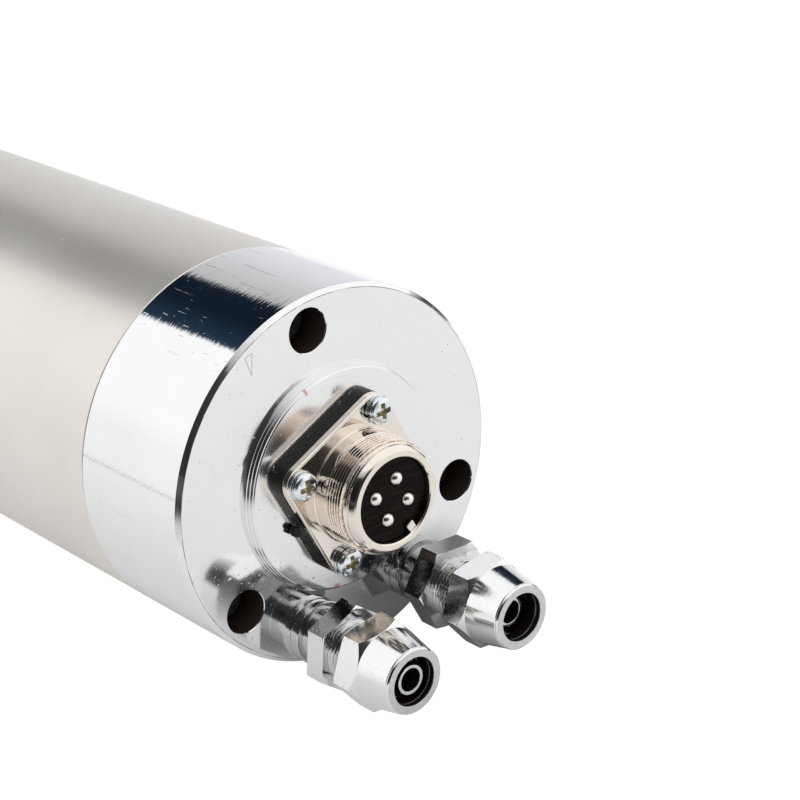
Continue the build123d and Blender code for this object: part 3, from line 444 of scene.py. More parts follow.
# ---- pieces that repeat or follow a path ----
def new_tree(name, inputs):
    """A geometry tree, a function that gives a named input's socket and a function that ends the tree."""
    tree = bpy.data.node_groups.new(name, "GeometryNodeTree")
    tree.interface.new_socket("Geometry", in_out="INPUT", socket_type="NodeSocketGeometry")
    for label, value in inputs.items():
        kind = "NodeSocketInt" if isinstance(value, int) else "NodeSocketFloat"
        tree.interface.new_socket(label, in_out="INPUT", socket_type=kind).default_value = value
    tree.interface.new_socket("Finish", in_out="INPUT", socket_type="NodeSocketMaterial")
    tree.interface.new_socket("Geometry", in_out="OUTPUT", socket_type="NodeSocketGeometry")
    group = tree.nodes.new("NodeGroupInput")

    def given(label):
        return group.outputs[label]

    def end(geometry):
        real = add_node(tree, "GeometryNodeRealizeInstances", None, {0: geometry})
        dressed = add_node(tree, "GeometryNodeSetMaterial", None, {"Geometry": real, "Material": given("Finish")})
        wire(tree, tree.nodes.new("NodeGroupOutput").inputs[0], dressed)
        return tree

    return tree, given, end


def ring_tree():
    """Copies of one piece set evenly round the spindle axis."""
    tree, given, end = new_tree("ring_of_pieces", {"Count": 4, "First angle": 0.0})
    points = add_node(tree, "GeometryNodePoints", None, {"Count": given("Count")})
    share = maths(tree, "DIVIDE", 2 * pi, given("Count"))
    angle = maths(tree, "MULTIPLY_ADD", add_node(tree, "GeometryNodeInputIndex"), share, given("First angle"))
    rotation = add_node(tree, "FunctionNodeEulerToRotation", None,
                        {0: add_node(tree, "ShaderNodeCombineXYZ", None, {"X": angle})})
    return end(add_node(tree, "GeometryNodeInstanceOnPoints", None,
                        {"Points": points, "Instance": given("Geometry"), "Rotation": rotation}))


def thread_tree():
    """A screw thread: a pointed ridge that winds round the X axis and runs out at both ends."""
    tree, given, end = new_tree("screw_thread", {
        "Start": 0.0, "Length": 0.005, "Pitch": 0.001, "Root radius": 0.01, "Depth": 0.0005, "Foot": 0.9,
        "Crest": 0.15, "Steps": 64})
    turns = maths(tree, "DIVIDE", given("Length"), given("Pitch"))
    helix = add_node(tree, "GeometryNodeCurveSpiral", None,
                     {"Resolution": given("Steps"), "Rotations": turns, "Start Radius": given("Root radius"),
                      "End Radius": given("Root radius"), "Height": given("Length")})
    upright = add_node(tree, "GeometryNodeSetCurveNormal", {"mode": "Z_UP"}, {0: helix})
    along = add_node(tree, "GeometryNodeSplineParameter")
    from_end = maths(tree, "MULTIPLY", maths(tree, "MINIMUM", along, maths(tree, "SUBTRACT", 1.0, along)), turns)
    size = maths(tree, "MINIMUM", maths(tree, "MULTIPLY_ADD", from_end, 2.0, 0.02), 1.0)
    sized = add_node(tree, "GeometryNodeSetCurveRadius", None, {"Curve": upright, "Radius": size})
    foot, crest = (maths(tree, "MULTIPLY", maths(tree, "MULTIPLY", given("Pitch"), given(share)), 0.5)
                   for share in ("Foot", "Crest"))
    sunk, proud = (maths(tree, "MULTIPLY", given("Depth"), share) for share in (0.2, -1.0))
    corners = ((sunk, maths(tree, "MULTIPLY", foot, -1.0)), (proud, maths(tree, "MULTIPLY", crest, -1.0)),
               (proud, crest), (sunk, foot))
    ridge = add_node(tree, "GeometryNodeCurvePrimitiveQuadrilateral", {"mode": "POINTS"}, {
        f"Point {i}": add_node(tree, "ShaderNodeCombineXYZ", None, {"X": x, "Y": y})
        for i, (x, y) in enumerate(corners, 1)})
    solid = add_node(tree, "GeometryNodeCurveToMesh", None,
                     {"Curve": sized, "Profile Curve": ridge, "Fill Caps": True})
    place = add_node(tree, "ShaderNodeCombineXYZ", None, {"X": given("Start")})
    return end(add_node(tree, "GeometryNodeTransform", None,
                        {"Geometry": solid, "Rotation": (0.0, pi / 2, 0.0), "Translation": place}))


def grown(piece, tree, finish, **inputs):
    """Run a geometry tree on a piece with those inputs and keep the result as its mesh."""
    step = piece.modifiers.new(tree.name, "NODES")
    step.node_group = tree
    inputs["Finish"] = finish
    for socket in tree.interface.items_tree:
        key = socket.name.replace(" ", "_")
        if socket.in_out == "INPUT" and key in inputs:
            step[socket.identifier] = inputs[key]
    return settle(piece, None)


RING_OF = ring_tree()
THREAD = thread_tree()


def ring_of(piece, count, first, finish):
    """The piece, drawn at angle 0, copied evenly round the spindle axis from the first angle."""
    return grown(piece, RING_OF, finish, Count=count, First_angle=radians(first))


def thread(name, start, length, pitch, root_r, depth, finish, at=(0.0, 0.0), foot=0.9, crest=0.15, steps=64):
    """A screw thread along X, in millimetres."""
    piece = object_of(name)
    grown(piece, THREAD, finish, Start=start * MM, Length=length * MM, Pitch=pitch * MM, Root_radius=root_r * MM,
          Depth=depth * MM, Foot=foot, Crest=crest, Steps=steps)
    piece.data.transform(Matrix.Translation((0.0, at[0] * MM, at[1] * MM)))
    smooth(piece.data, 32.0)
    return piece


# ---- finishes ----
def satin_sleeve():
    """Stainless tube, brushed round its girth, a little mottled."""
    f = Finish("satin_sleeve_steel")
    rings = f.noise(1.0, 3.0, stretch=(3.2, 0.10, 0.10))
    grain = f.noise(5.0, 2.0, stretch=(1.0, 0.25, 0.25))
    clouds = f.noise(0.035, 3.0)
    marks = f.specks(0.16, 0.07, stretch=(0.7, 1.0, 1.0)) * f.noise(0.4).above(0.60, 0.03)
    f.paint(clouds.above(0.5, 0.16), (0.775, 0.735, 0.685), (0.815, 0.78, 0.735))
    f.paint(rings * 0.14, (0.60, 0.565, 0.52))
    f.paint(marks * 0.9, (0.97, 0.97, 0.97))
    f.bump(rings, 0.004, 0.35)
    f.bump(grain, 0.003, 0.30)
    return f.surface(0.265 + grain * 0.08 + clouds * 0.06, 0.72)


def polished_cap():
    """Mirror polish over turning marks, scratched, with painted shade in the screw holes and two stains on the boss."""
    f = Finish("polished_cap_aluminium")
    x, _, _ = f.axes()
    reach, angle = f.about()
    back = x.above(REAR_FACE - 0.6, 0.3)
    boss = x.above(REAR_FACE + 2.2, 0.06)
    wall = 1.0 - back
    tool_marks = f.noise(1.0, 2.0, stretch=(2.3, 0.11, 0.11)) * wall
    deep_marks = f.noise(1.0, 1.0, stretch=(0.9, 0.16, 0.16)) * wall
    turn = f.node("ShaderNodeCombineXYZ", None, {0: reach * 3.2, 1: x * 0.4})
    face_rings = f.noise(1.0, 3.0, vector=turn) * back
    scratches = f.hairlines(0.9, (0, 28, 12), 0.715) + f.hairlines(1.3, (35, -20, 50), 0.73)
    nicks = (f.hairlines(1.9, (20, 60, 25), 0.725, 9.0) + f.hairlines(2.4, (75, 40, -15), 0.73, 7.0)) * wall
    scratches = scratches + nicks * 0.8 + f.hairlines(1.1, (80, 10, -35), 0.725) * back * 0.6
    steps = x.above(REAR_FACE + 0.05, 0.04) * x.below(REAR_FACE + 2.24, 0.04)
    scratches = scratches * (1.0 - steps)
    dots = f.specks(0.7, 0.04) * f.noise(0.2).above(0.58, 0.04)
    pits = f.specks(0.35, 0.045) * f.noise(0.11).above(0.53, 0.04)
    mark = f.stroke(*MARK[0:2]).step("MINIMUM", f.stroke(*MARK[1:3])).step("MINIMUM", f.stroke(*MARK[2:4]))
    mark = mark.below(0.10, 0.07) * back
    # painted shade: the walls of the three screw holes are painted near-black
    shaded_holes = f.from_ring(SCREW_CIRCLE_R, FIRST_SCREW, 3).below(COUNTERBORE_R + 0.10, 0.06)
    shaded_holes = shaded_holes * x.below(REAR_FACE - 0.30, 0.08)
    edge = (reach - (FACE_EDGE_R - 0.02)).step("ABSOLUTE").below(0.07, 0.05) * back
    edge = edge * (0.45 + f.noise(0.22, 2.0).above(0.48, 0.06) * 0.55)
    stained = x.above(REAR_FACE + 1.7, 0.1) * reach.above(BOSS_TOP_R - 0.7, 0.3)
    spots = (angle - STAIN_TURNS[0]).step("ABSOLUTE").below(0.014, 0.008) + (
        angle + STAIN_TURNS[1]).step("ABSOLUTE").below(0.03, 0.02)
    haze = f.noise(0.09, 3.0)
    f.paint(haze.above(0.52, 0.2) * 0.5, (0.875, 0.875, 0.885), (0.83, 0.83, 0.845))
    f.paint(pits * 0.8 + mark * 0.55, (0.22, 0.20, 0.19))
    f.paint(edge * 0.85, (0.10, 0.09, 0.08))
    f.paint(stained * spots * 0.8, (0.60, 0.27, 0.16))
    f.paint(shaded_holes, (0.040, 0.030, 0.025))
    f.bump(tool_marks, 0.024, 0.62)
    f.bump(deep_marks, 0.036, 0.40)
    f.bump(face_rings, 0.0035, 0.40)
    f.bump(scratches, 0.010, 0.6)
    rough = 0.045 + wall * 0.015 + face_rings * 0.04 + scratches * 0.30 + dots * 0.4 * wall + haze * 0.03 * back
    return f.surface(rough + boss * 0.06 * (1.0 - steps) + shaded_holes * 0.35, 1.0 - shaded_holes * 0.5)


def warm_nickel():
    """Nickel plate over a casting: beige, bright, with brown specks where it has worn."""
    f = Finish("warm_nickel_plate")
    x, _, _ = f.axes()
    reach, _ = f.about()
    grain = f.noise(4.5, 3.0)
    wavy = f.noise(0.45, 2.0)
    specks = f.specks(1.1, 0.10) * f.noise(0.22).above(0.54, 0.05)
    fine = f.specks(2.6, 0.12) * f.noise(0.5).above(0.56, 0.04)
    barrel = reach.below(BARREL_R + 0.4, 0.3) * x.above(FLANGE_FACE + 0.3, 0.2)
    flat = (1.0 - barrel) * x.above(FLANGE_FACE - 0.15, 0.1)
    turned_lines = f.noise(1.0, 3.0, stretch=(6.0, 0.15, 0.15)) * barrel
    lip = barrel * x.above(THREAD_TO + 0.6, 0.1)
    f.paint(wavy * 0.7, (0.87, 0.81, 0.745), (0.80, 0.725, 0.645))
    f.paint(specks * 0.75 + fine * 0.6, (0.26, 0.13, 0.07))
    threaded = barrel * x.above(THREAD_FROM, 0.2) * x.below(THREAD_TO - 0.45, 0.1)
    groove_mottle = f.noise(1.6, 3.0)
    # the thread's grooves are painted darker brown, in patches
    groove = threaded * reach.below(BARREL_R - 0.30, 0.14)
    f.paint(groove * (0.25 + groove_mottle.above(0.5, 0.1) * 0.5), (0.30, 0.19, 0.11))
    f.paint(threaded * f.noise(2.6, 3.0).above(0.55, 0.08) * 0.45, (0.50, 0.31, 0.17))
    f.bump(grain, 0.006, 0.25)
    f.bump(wavy, 0.03, 0.35)
    f.bump(turned_lines, 0.005, 0.35)
    return f.surface(0.035 + grain * 0.04 + specks * 0.2 + flat * 0.03 + lip * 0.05)


def plated_fitting():
    """Chrome over brass: scuffed, copper at a few spanner corners, painted shade behind the hexagons, on the stems and
    inside the bores, and painted dark reflections on three hexagon faces.
    """
    f = Finish("worn_fitting_chrome")
    x, y, z = f.axes()
    worn = inside = dark_reflection = None
    inlet, outlet = (f.about(around(PORT_R, angle))[0] for angle in PORTS.values())
    for reach in (inlet, outlet):
        corner = reach.above(HEX_CORNER_R - 0.55, 0.20) * reach.below(HEX_CORNER_R + 1.5, 0.2)
        barb = reach.below(BARB_R + 0.1, 0.04) * x.above(BARB_END - 0.25, 0.05)
        bore = reach.below(NUT_MOUTH_R + 0.12, 0.05) * x.above(STEM_END - 2.0, 0.5) * (1.0 - barb)
        worn = corner if worn is None else worn + corner
        inside = bore if inside is None else inside + bore
    worn = worn * f.noise(1.4, 3.0).above(0.63, 0.05)
    behind = x.below(HEXES_FROM, 0.1)
    front = 1.0 - behind * 0.95
    stem = inlet.step("MINIMUM", outlet).below(STEM_R + 0.4, 0.1) * x.above(HEXES_TO - 0.1, 0.1)
    cast = z.above(CAST_Z, 0.3) * x.below(HEXES_TO, 0.1) * (1.0 - behind)
    scuff = f.noise(1.3, 4.0, stretch=(1.0, 1.8, 1.8))
    dents = f.noise(1.5, 2.0)
    # painted reflection: three hexagon faces painted near-black where they mirror dark surroundings
    for port, turn, share in DARK_REFLECTION_FACES:
        middle, side = around(PORT_R, PORTS[port]), Vector((cos(radians(turn)), sin(radians(turn))))
        out = (y - middle[0]) * side.x + (z - middle[1]) * side.y
        face = out.above(HEX_FLATS / 2 - 0.10, 0.05) * (out - HEX_FLATS / 2).below(0.4, 0.1) * share
        dark_reflection = face if dark_reflection is None else dark_reflection + face
    dark_reflection = dark_reflection * x.below(HEXES_TO, 0.1) * (0.75 + dents * 0.45)
    pits = f.specks(1.5, 0.07) * f.noise(0.3).above(0.55, 0.05)
    lines = f.hairlines(1.6, (0, 30, 20), 0.70, 18.0) + f.hairlines(1.9, (50, -15, 70), 0.71, 18.0)
    f.paint(scuff.above(0.55, 0.2) * 0.4, (0.87, 0.875, 0.88), (0.79, 0.795, 0.805))
    # painted shade: darker behind the hexagons and on the stems past them
    shadow = behind * (0.34 + y.above(BETWEEN_PORTS_Y, 3.0) * 0.26) + stem * (0.15 + dents * 0.35)
    f.paint(shadow, (0.17, 0.18, 0.165))
    f.paint(dark_reflection, (0.055, 0.055, 0.052))
    f.paint(worn * 0.7 + pits * front * 0.5, (0.50, 0.31, 0.22))
    # painted shade: the bores are painted near-black
    f.paint(inside, (0.010, 0.006, 0.004))
    f.bump(dents * front * 0.28, 0.020)
    f.bump(f.noise(3.2, 2.0) * cast, 0.09, 0.9)
    f.bump(scuff * front, 0.012, 0.25)
    f.bump(lines * front, 0.008, 0.5)
    rough = 0.075 + scuff * 0.07 + lines * front * 0.12 + worn * 0.25 + inside * 0.30 + cast * 0.22
    return f.surface(rough, 1.0 - inside * 0.5)


def zinc_screw():
    """Bright zinc with a blue cast; the cross recess is painted olive."""
    f = Finish("bright_zinc_screws")
    x, _, _ = f.axes()
    centre = f.from_ring(FLANGE_SCREW_R, FLANGE_TURN + 45.0, 4)
    recess = centre.below(2.2, 0.15) * x.below(FLANGE_FACE + 2.13, 0.08)
    blotch = f.noise(1.2, 3.0)
    grain = f.noise(6.0, 2.0)
    f.paint(blotch.above(0.52, 0.12) * 0.6, (0.84, 0.875, 0.905), (0.66, 0.70, 0.72))
    f.paint(recess * 0.9, (0.60, 0.56, 0.40))
    f.bump(grain, 0.006, 0.4)
    f.bump(blotch, 0.02, 0.3)
    return f.surface(0.13 + grain * 0.08 + recess * 0.18)


def machined(name, tone, dark, rough, ring_scale=2.6, tint=None):
    """Turned or ground steel: rings across the axis, light scratches and cloudy handling marks."""
    f = Finish(name)
    reach, _ = f.about()
    x, _, _ = f.axes()
    turn = f.node("ShaderNodeCombineXYZ", None, {0: reach * ring_scale, 1: x * ring_scale})
    rings = f.noise(1.0, 3.0, vector=turn)
    clouds = f.noise(0.12, 3.0)
    lines = f.hairlines(1.2, (0, 30, 25), 0.715, 24.0)
    f.paint(rings * 0.45 + clouds * 0.25, tone, dark)
    if tint:
        f.paint(clouds.above(0.60, 0.06) * 0.3, tint)
    f.bump(rings, 0.005, 0.35)
    f.bump(lines, 0.006, 0.5)
    return f.surface(rough + clouds * 0.10 + lines * 0.15)


def black_rubber():
    """Moulded rubber with dust on it."""
    f = Finish("moulded_black_rubber")
    grain = f.noise(3.0, 4.0)
    dust = f.specks(2.2, 0.06) * f.noise(0.5).above(0.60, 0.05)
    f.paint(grain, (0.005, 0.005, 0.005), (0.013, 0.013, 0.012))
    f.paint(dust * 0.7, (0.20, 0.19, 0.18))
    f.bump(grain, 0.05, 0.5)
    return f.surface(0.34 + grain * 0.16, 0.0, Specular_IOR_Level=0.22)


def brown_insert():
    """Dark brown moulding with a faint grain, and polished by the mould."""
    f = Finish("dark_brown_insert")
    grain = f.noise(0.8, 4.0, turn=(35, 0, 0), stretch=(1.0, 0.16, 1.6))
    dust = f.specks(3.0, 0.07) * f.noise(0.8).above(0.55, 0.04)
    f.paint(grain.above(0.52, 0.10), (0.003, 0.0015, 0.001), (0.010, 0.0055, 0.003))
    f.paint(dust, (0.30, 0.20, 0.12))
    f.bump(grain, 0.02, 0.15)
    return f.surface(0.20 + grain * 0.10, 0.0, Specular_IOR_Level=0.06)


def silver_pins():
    f = Finish("silver_plated_pins")
    grain = f.noise(5.0, 3.0)
    tarnish = f.noise(1.2, 2.0)
    f.paint(tarnish.above(0.58, 0.08) * 0.4, (0.93, 0.92, 0.90), (0.72, 0.66, 0.56))
    f.bump(grain, 0.006, 0.3)
    return f.surface(0.16 + grain * 0.10)


def black_screws():
    """Oil-black steel with rubbed edges."""
    f = Finish("oil_black_screws")
    rub = f.noise(2.5, 3.0)
    f.paint(rub.above(0.62, 0.08), (0.085, 0.072, 0.062), (0.24, 0.21, 0.18))
    f.bump(rub, 0.02, 0.4)
    return f.surface(0.34 + rub * 0.14, 0.75)


def lamination():
    """Stacked sheet iron."""
    f = Finish("stacked_iron_sheets")
    x, _, _ = f.axes()
    sheets = (x * (2 * pi / 0.5)).step("SINE") * 0.5 + 0.5
    stain = f.noise(0.4, 3.0)
    f.paint(sheets * 0.5 + stain * 0.4, (0.34, 0.34, 0.35), (0.14, 0.13, 0.13))
    f.bump(sheets, 0.04, 0.5)
    return f.surface(0.42 + stain * 0.15)


def winding():
    """Varnished copper wire, wound round the end of the core."""
    f = Finish("varnished_copper_wire")
    reach, angle = f.about()
    x, _, _ = f.axes()
    strands = ((reach + x * 0.7 + (angle * 9.0).step("SINE") * 0.8) * (2 * pi / 0.9)).step("SINE") * 0.5 + 0.5
    varnish = f.noise(0.5, 3.0)
    f.paint(varnish, (0.62, 0.26, 0.10), (0.38, 0.13, 0.05))
    f.bump(strands, 0.20, 0.6)
    return f.surface(0.24 + varnish * 0.15, 0.85)


def red_sleeving():
    """Braided sleeving on the motor leads."""
    f = Finish("braided_lead_sleeving")
    x, y, z = f.axes()
    braid = ((x + y) * 9.0).step("SINE") * ((x - z) * 9.0).step("SINE")
    f.paint(braid * 0.5 + 0.5, (0.34, 0.035, 0.025), (0.52, 0.08, 0.05))
    f.bump(braid, 0.08, 0.5)
    return f.surface(0.62 + f.noise(1.5) * 0.1, 0.0)


SLEEVE, CAP, NICKEL, CHROME = satin_sleeve(), polished_cap(), warm_nickel(), plated_fitting()
ZINC, RUBBER, INSERT, SILVER, BLACK = zinc_screw(), black_rubber(), brown_insert(), silver_pins(), black_screws()
HOUSING = machined("turned_housing_steel", (0.66, 0.655, 0.65), (0.50, 0.49, 0.48), 0.20)
SHAFT = machined("ground_shaft_steel", (0.64, 0.64, 0.645), (0.46, 0.455, 0.45), 0.15, 4.0)
COLLET = machined("ground_collet_steel", (0.68, 0.68, 0.685), (0.50, 0.50, 0.50), 0.13, 4.0, (0.50, 0.40, 0.28))
BEARING = machined("polished_bearing_steel", (0.74, 0.74, 0.75), (0.58, 0.58, 0.59), 0.08, 3.0)
CORE = machined("machined_core_aluminium", (0.72, 0.72, 0.73), (0.55, 0.55, 0.56), 0.24, 1.5)
IRON, COPPER, SLEEVING = lamination(), winding(), red_sleeving()


def on_body(piece, finish, *replaced, body="base", edge=0.0, segments=2):
    """Ease a finished piece, dress it and let it ride on its body."""
    if edge is not None:
        eased(piece, edge, segments=segments)
    piece.data.materials.clear()
    piece.data.materials.append(finish)
    piece.data.polygons.foreach_set("material_index", [0] * len(piece.data.polygons))
    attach(piece, body)
    if replaced:
        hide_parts(*replaced)


def socket_screws(name, outline, corner, steps, radius, socket, ring, node):
    """Black socket screws: the socket is start, end and size, the ring is count and first angle."""
    start, end, flats = socket
    screw = turned(name, outline, corner, steps, (radius, 0.0))
    combined(screw, block("socket", (start, end, polygon(6, flats, 0, (radius, 0.0)))))
    on_body(ring_of(screw, *ring, BLACK), BLACK, node)


on_body(turned("steel_sleeve", [
    (0, SLEEVE_BORE_R), (0, BODY_R - EDGE), (EDGE, BODY_R), (SEAM - EDGE, BODY_R), (SEAM, BODY_R - EDGE),
    (SEAM, SLEEVE_BORE_R)], 0.06, 256), SLEEVE, "outer_sleeve")

STEPS_R, STEP, STEP_DROP = BOSS_BASE_R + 0.13, 0.68, 0.31
grooves = []
for k in range(3):
    x, r = REAR_FACE + 0.06 + STEP * k, STEPS_R - STEP_DROP * k
    grooves += [(x, r), (x + STEP - 0.03, r - 0.04), (x + STEP - 0.01, r - STEP_DROP)]
cap = turned("rear_cap_polished", [
    (CAP_FRONT, CAP_CAVITY_R), (CAP_FRONT, CORE_R), (SEAM, CORE_R), (SEAM, BODY_R - EDGE), (SEAM + EDGE, BODY_R),
    (REAR_FACE - 0.9, BODY_R), (REAR_FACE, FACE_EDGE_R), (REAR_FACE, STEPS_R), *grooves,
    (BOSS_TOP - 0.2, BOSS_TOP_R + 0.22), (BOSS_TOP, BOSS_TOP_R), (BOSS_TOP, 10.6), (205.0, 10.6), (205.0, 24.5),
    (202.0, CAP_CAVITY_R)], 0.10, 320, sharp=28.0)
counterbore = [(REAR_FACE + 1, 0), (REAR_FACE + 1, 4.78), (REAR_FACE, 4.72), (REAR_FACE - 0.14, COUNTERBORE_R),
               (COUNTERBORE_FLOOR, COUNTERBORE_R), (COUNTERBORE_FLOOR, 2.75), (CAP_FRONT - 1, 2.75),
               (CAP_FRONT - 1, 0)]
waterway = [(REAR_FACE + 1, 0), (REAR_FACE + 1, 4.9), (203, 4.9), (203, 2.2), (CAP_FRONT - 1, 2.2), (CAP_FRONT - 1, 0)]
combined(cap, holes("cap_holes", (counterbore, 64, SCREW_CIRCLE_R, [FIRST_SCREW - 120.0 * k for k in range(3)]),
                    (waterway, 48, PORT_R, PORTS.values())), sharp=28.0)
on_body(cap, CAP, "rear_cap")

head = COUNTERBORE_FLOOR
socket_screws("cap_screw_set", [(165, 0), (165, 2.45), (head, 2.45), (head, 4.25), (head + 4.6, 4.25),
                                (head + 5.0, 3.85), (head + 5.0, 0)], 0.12, 48, SCREW_CIRCLE_R,
              (head + 2.5, head + 6, 4.0), (3, FIRST_SCREW), "cap_screws")


# ---- connector ----
def plate(name, back, front, bore_end, bore_r, hole):
    """A square plate with round corners and a bore for the barrel."""
    piece = block(name, (back, front, rounded_square(FLANGE_SIDE, FLANGE_CORNER_R, FLANGE_TURN)))
    bore = [(210, 0), (210, bore_r), (bore_end, bore_r), (bore_end, 0)]
    return combined(piece, holes(hole, (bore, 64, 0.0, [0.0])))


on_body(plate("flange_gasket", BOSS_TOP - 0.2, FLANGE_BACK, 220, 10.9, "gasket_hole"), RUBBER, "gasket", edge=0.14)
on_body(block("gasket_torn_edge",
              (BOSS_TOP + 0.5, FLANGE_BACK - 0.4, [(-13.6, -6.2), (-14.7, -5.9), (-15.3, -6.5), (-14.8, -7.0),
                                                   (-15.1, -7.8), (-14.3, -8.3), (-13.2, -7.9)]),
              (BOSS_TOP + 0.9, FLANGE_BACK - 0.9, [(-14.5, -6.2), (-15.7, -6.3), (-15.3, -7.0), (-14.6, -7.1)]),
              weld=0), RUBBER, edge=0.18)
on_body(plate("connector_flange", FLANGE_BACK, FLANGE_FACE, 225, 11.0, "barrel_hole"), NICKEL, "connector_shell",
        edge=0.42, segments=3)

BEAD_R, RELIEF_R = BARREL_R + 0.27, 11.0
on_body(turned("connector_barrel", [
    (SHELL_TAIL, MOUTH_R), (SHELL_TAIL, 10.3), (FLANGE_BACK, 10.3), (FLANGE_BACK + 0.1, 11.3),
    (FLANGE_FACE - 0.3, 11.3), (FLANGE_FACE - 0.3, BEAD_R), (FLANGE_FACE + 0.16, BEAD_R),
    (FLANGE_FACE + 0.26, BARREL_R), (THREAD_FROM - 0.25, BARREL_R), (THREAD_FROM, THREAD_ROOT_R),
    (THREAD_TO - 0.3, THREAD_ROOT_R), (THREAD_TO, RELIEF_R), (THREAD_TO + 0.75, RELIEF_R), (THREAD_TO + 0.95, 11.3),
    (MOUTH - 0.35, 10.65), (MOUTH, 10.3), (MOUTH, MOUTH_R + 0.25), (MOUTH - 0.3, MOUTH_R)], 0.12, 224), NICKEL)
on_body(thread("connector_thread", THREAD_FROM - 0.1, THREAD_TO - THREAD_FROM - 0.25, 0.78, THREAD_ROOT_R, 0.54,
               NICKEL, foot=0.92, crest=0.16, steps=96), NICKEL, edge=None)
on_body(block("connector_key", (MOUTH - 9.0, MOUTH - 0.5, swung(rectangle(7.15, 9.2, 0.95), KEY_TURN))), NICKEL,
        edge=0.15)

insert = turned("contact_insert", [(SHELL_TAIL - 1, 0), (SHELL_TAIL - 1, 8.9), (INSERT_FACE - 0.15, 8.9),
                                   (INSERT_FACE, 8.75), (INSERT_FACE, 0)], 0.05, 96)
slots = prism(bmesh.new(), MOUTH - 9.2, MOUTH + 1, swung(rectangle(6.95, 10.0, 1.05), KEY_TURN))
for k in range(4):
    spun(slots, [(SHELL_TAIL - 2, 0), (SHELL_TAIL - 2, 1.52), (INSERT_FACE - 0.2, 1.52), (INSERT_FACE + 0.1, 1.8),
                 (INSERT_FACE + 0.1, 0)], 40, around(PIN_CIRCLE_R, CONTACT_TURN + 90.0 * k), False)
on_body(combined(insert, piece_from(slots, "insert_slots", weld=0)), INSERT, "insulator")

dome = [(PIN_TIP - PIN_R + PIN_R * sin(radians(a)), PIN_R * cos(radians(a))) for a in range(0, 90, 9)]
pin = turned("contact_pin_set", [(201, 0.9), (201, PIN_R)] + dome + [(PIN_TIP, 0), (204, 0), (204, 0.9)], 0.02, 48,
             (PIN_CIRCLE_R, 0.0), arc=1)
on_body(ring_of(pin, 4, CONTACT_TURN, SILVER), SILVER, "contact_pins")

seat, pan_r, pan_rise = FLANGE_FACE + 0.7, 2.9, 0.9
crown = [(seat + pan_rise + pan_rise * sin(radians(a)), pan_r * (0.12 + 0.88 * cos(radians(a))))
         for a in (0, 18, 36, 52, 66, 78)]
pan = turned("flange_screw_set", [(210, 0), (210, 1.45), (seat, 1.45), (seat, 2.8), (seat + 0.2, pan_r)] + crown
             + [(seat + 1.8, 0)], 0.05, 56, (FLANGE_SCREW_R, 0.0), sharp=40)
for turn in (0.4, 0.4 + pi / 2):
    bar = [swung(rectangle(-long, long, wide), turn, (FLANGE_SCREW_R, 0.0))
           for long, wide in ((0.95, 0.34), (2.15, 0.60))]
    combined(pan, block("cross_recess", (seat + 0.55, seat + 2.0, *bar)), sharp=40)
on_body(ring_of(eased(pan, 0.09, 40), 4, CONTACT_TURN, ZINC), ZINC, "flange_screws")

washer, loops = bmesh.new(), []
gap, turns = radians(10.0), 44
for k in range(turns + 1):
    a = radians(120.0) + gap / 2 + (2 * pi - gap) * k / turns
    lift = 0.16 * k / turns
    loops.append([washer.verts.new((x + lift, FLANGE_SCREW_R + r * cos(a), r * sin(a))) for x, r in (
        (FLANGE_FACE, 1.6), (FLANGE_FACE, 3.0), (FLANGE_FACE + 0.05, 3.05), (FLANGE_FACE + 0.45, 3.05),
        (FLANGE_FACE + 0.5, 3.0), (FLANGE_FACE + 0.5, 1.6))])
for one, two in zip(loops, loops[1:]):
    for k in range(6):
        washer.faces.new((one[k], one[(k + 1) % 6], two[(k + 1) % 6], two[k]))
washer.faces.new(loops[0][::-1])
washer.faces.new(loops[-1])
on_body(ring_of(piece_from(washer, "lock_washer_set"), 4, CONTACT_TURN, ZINC), ZINC, "lock_washers")


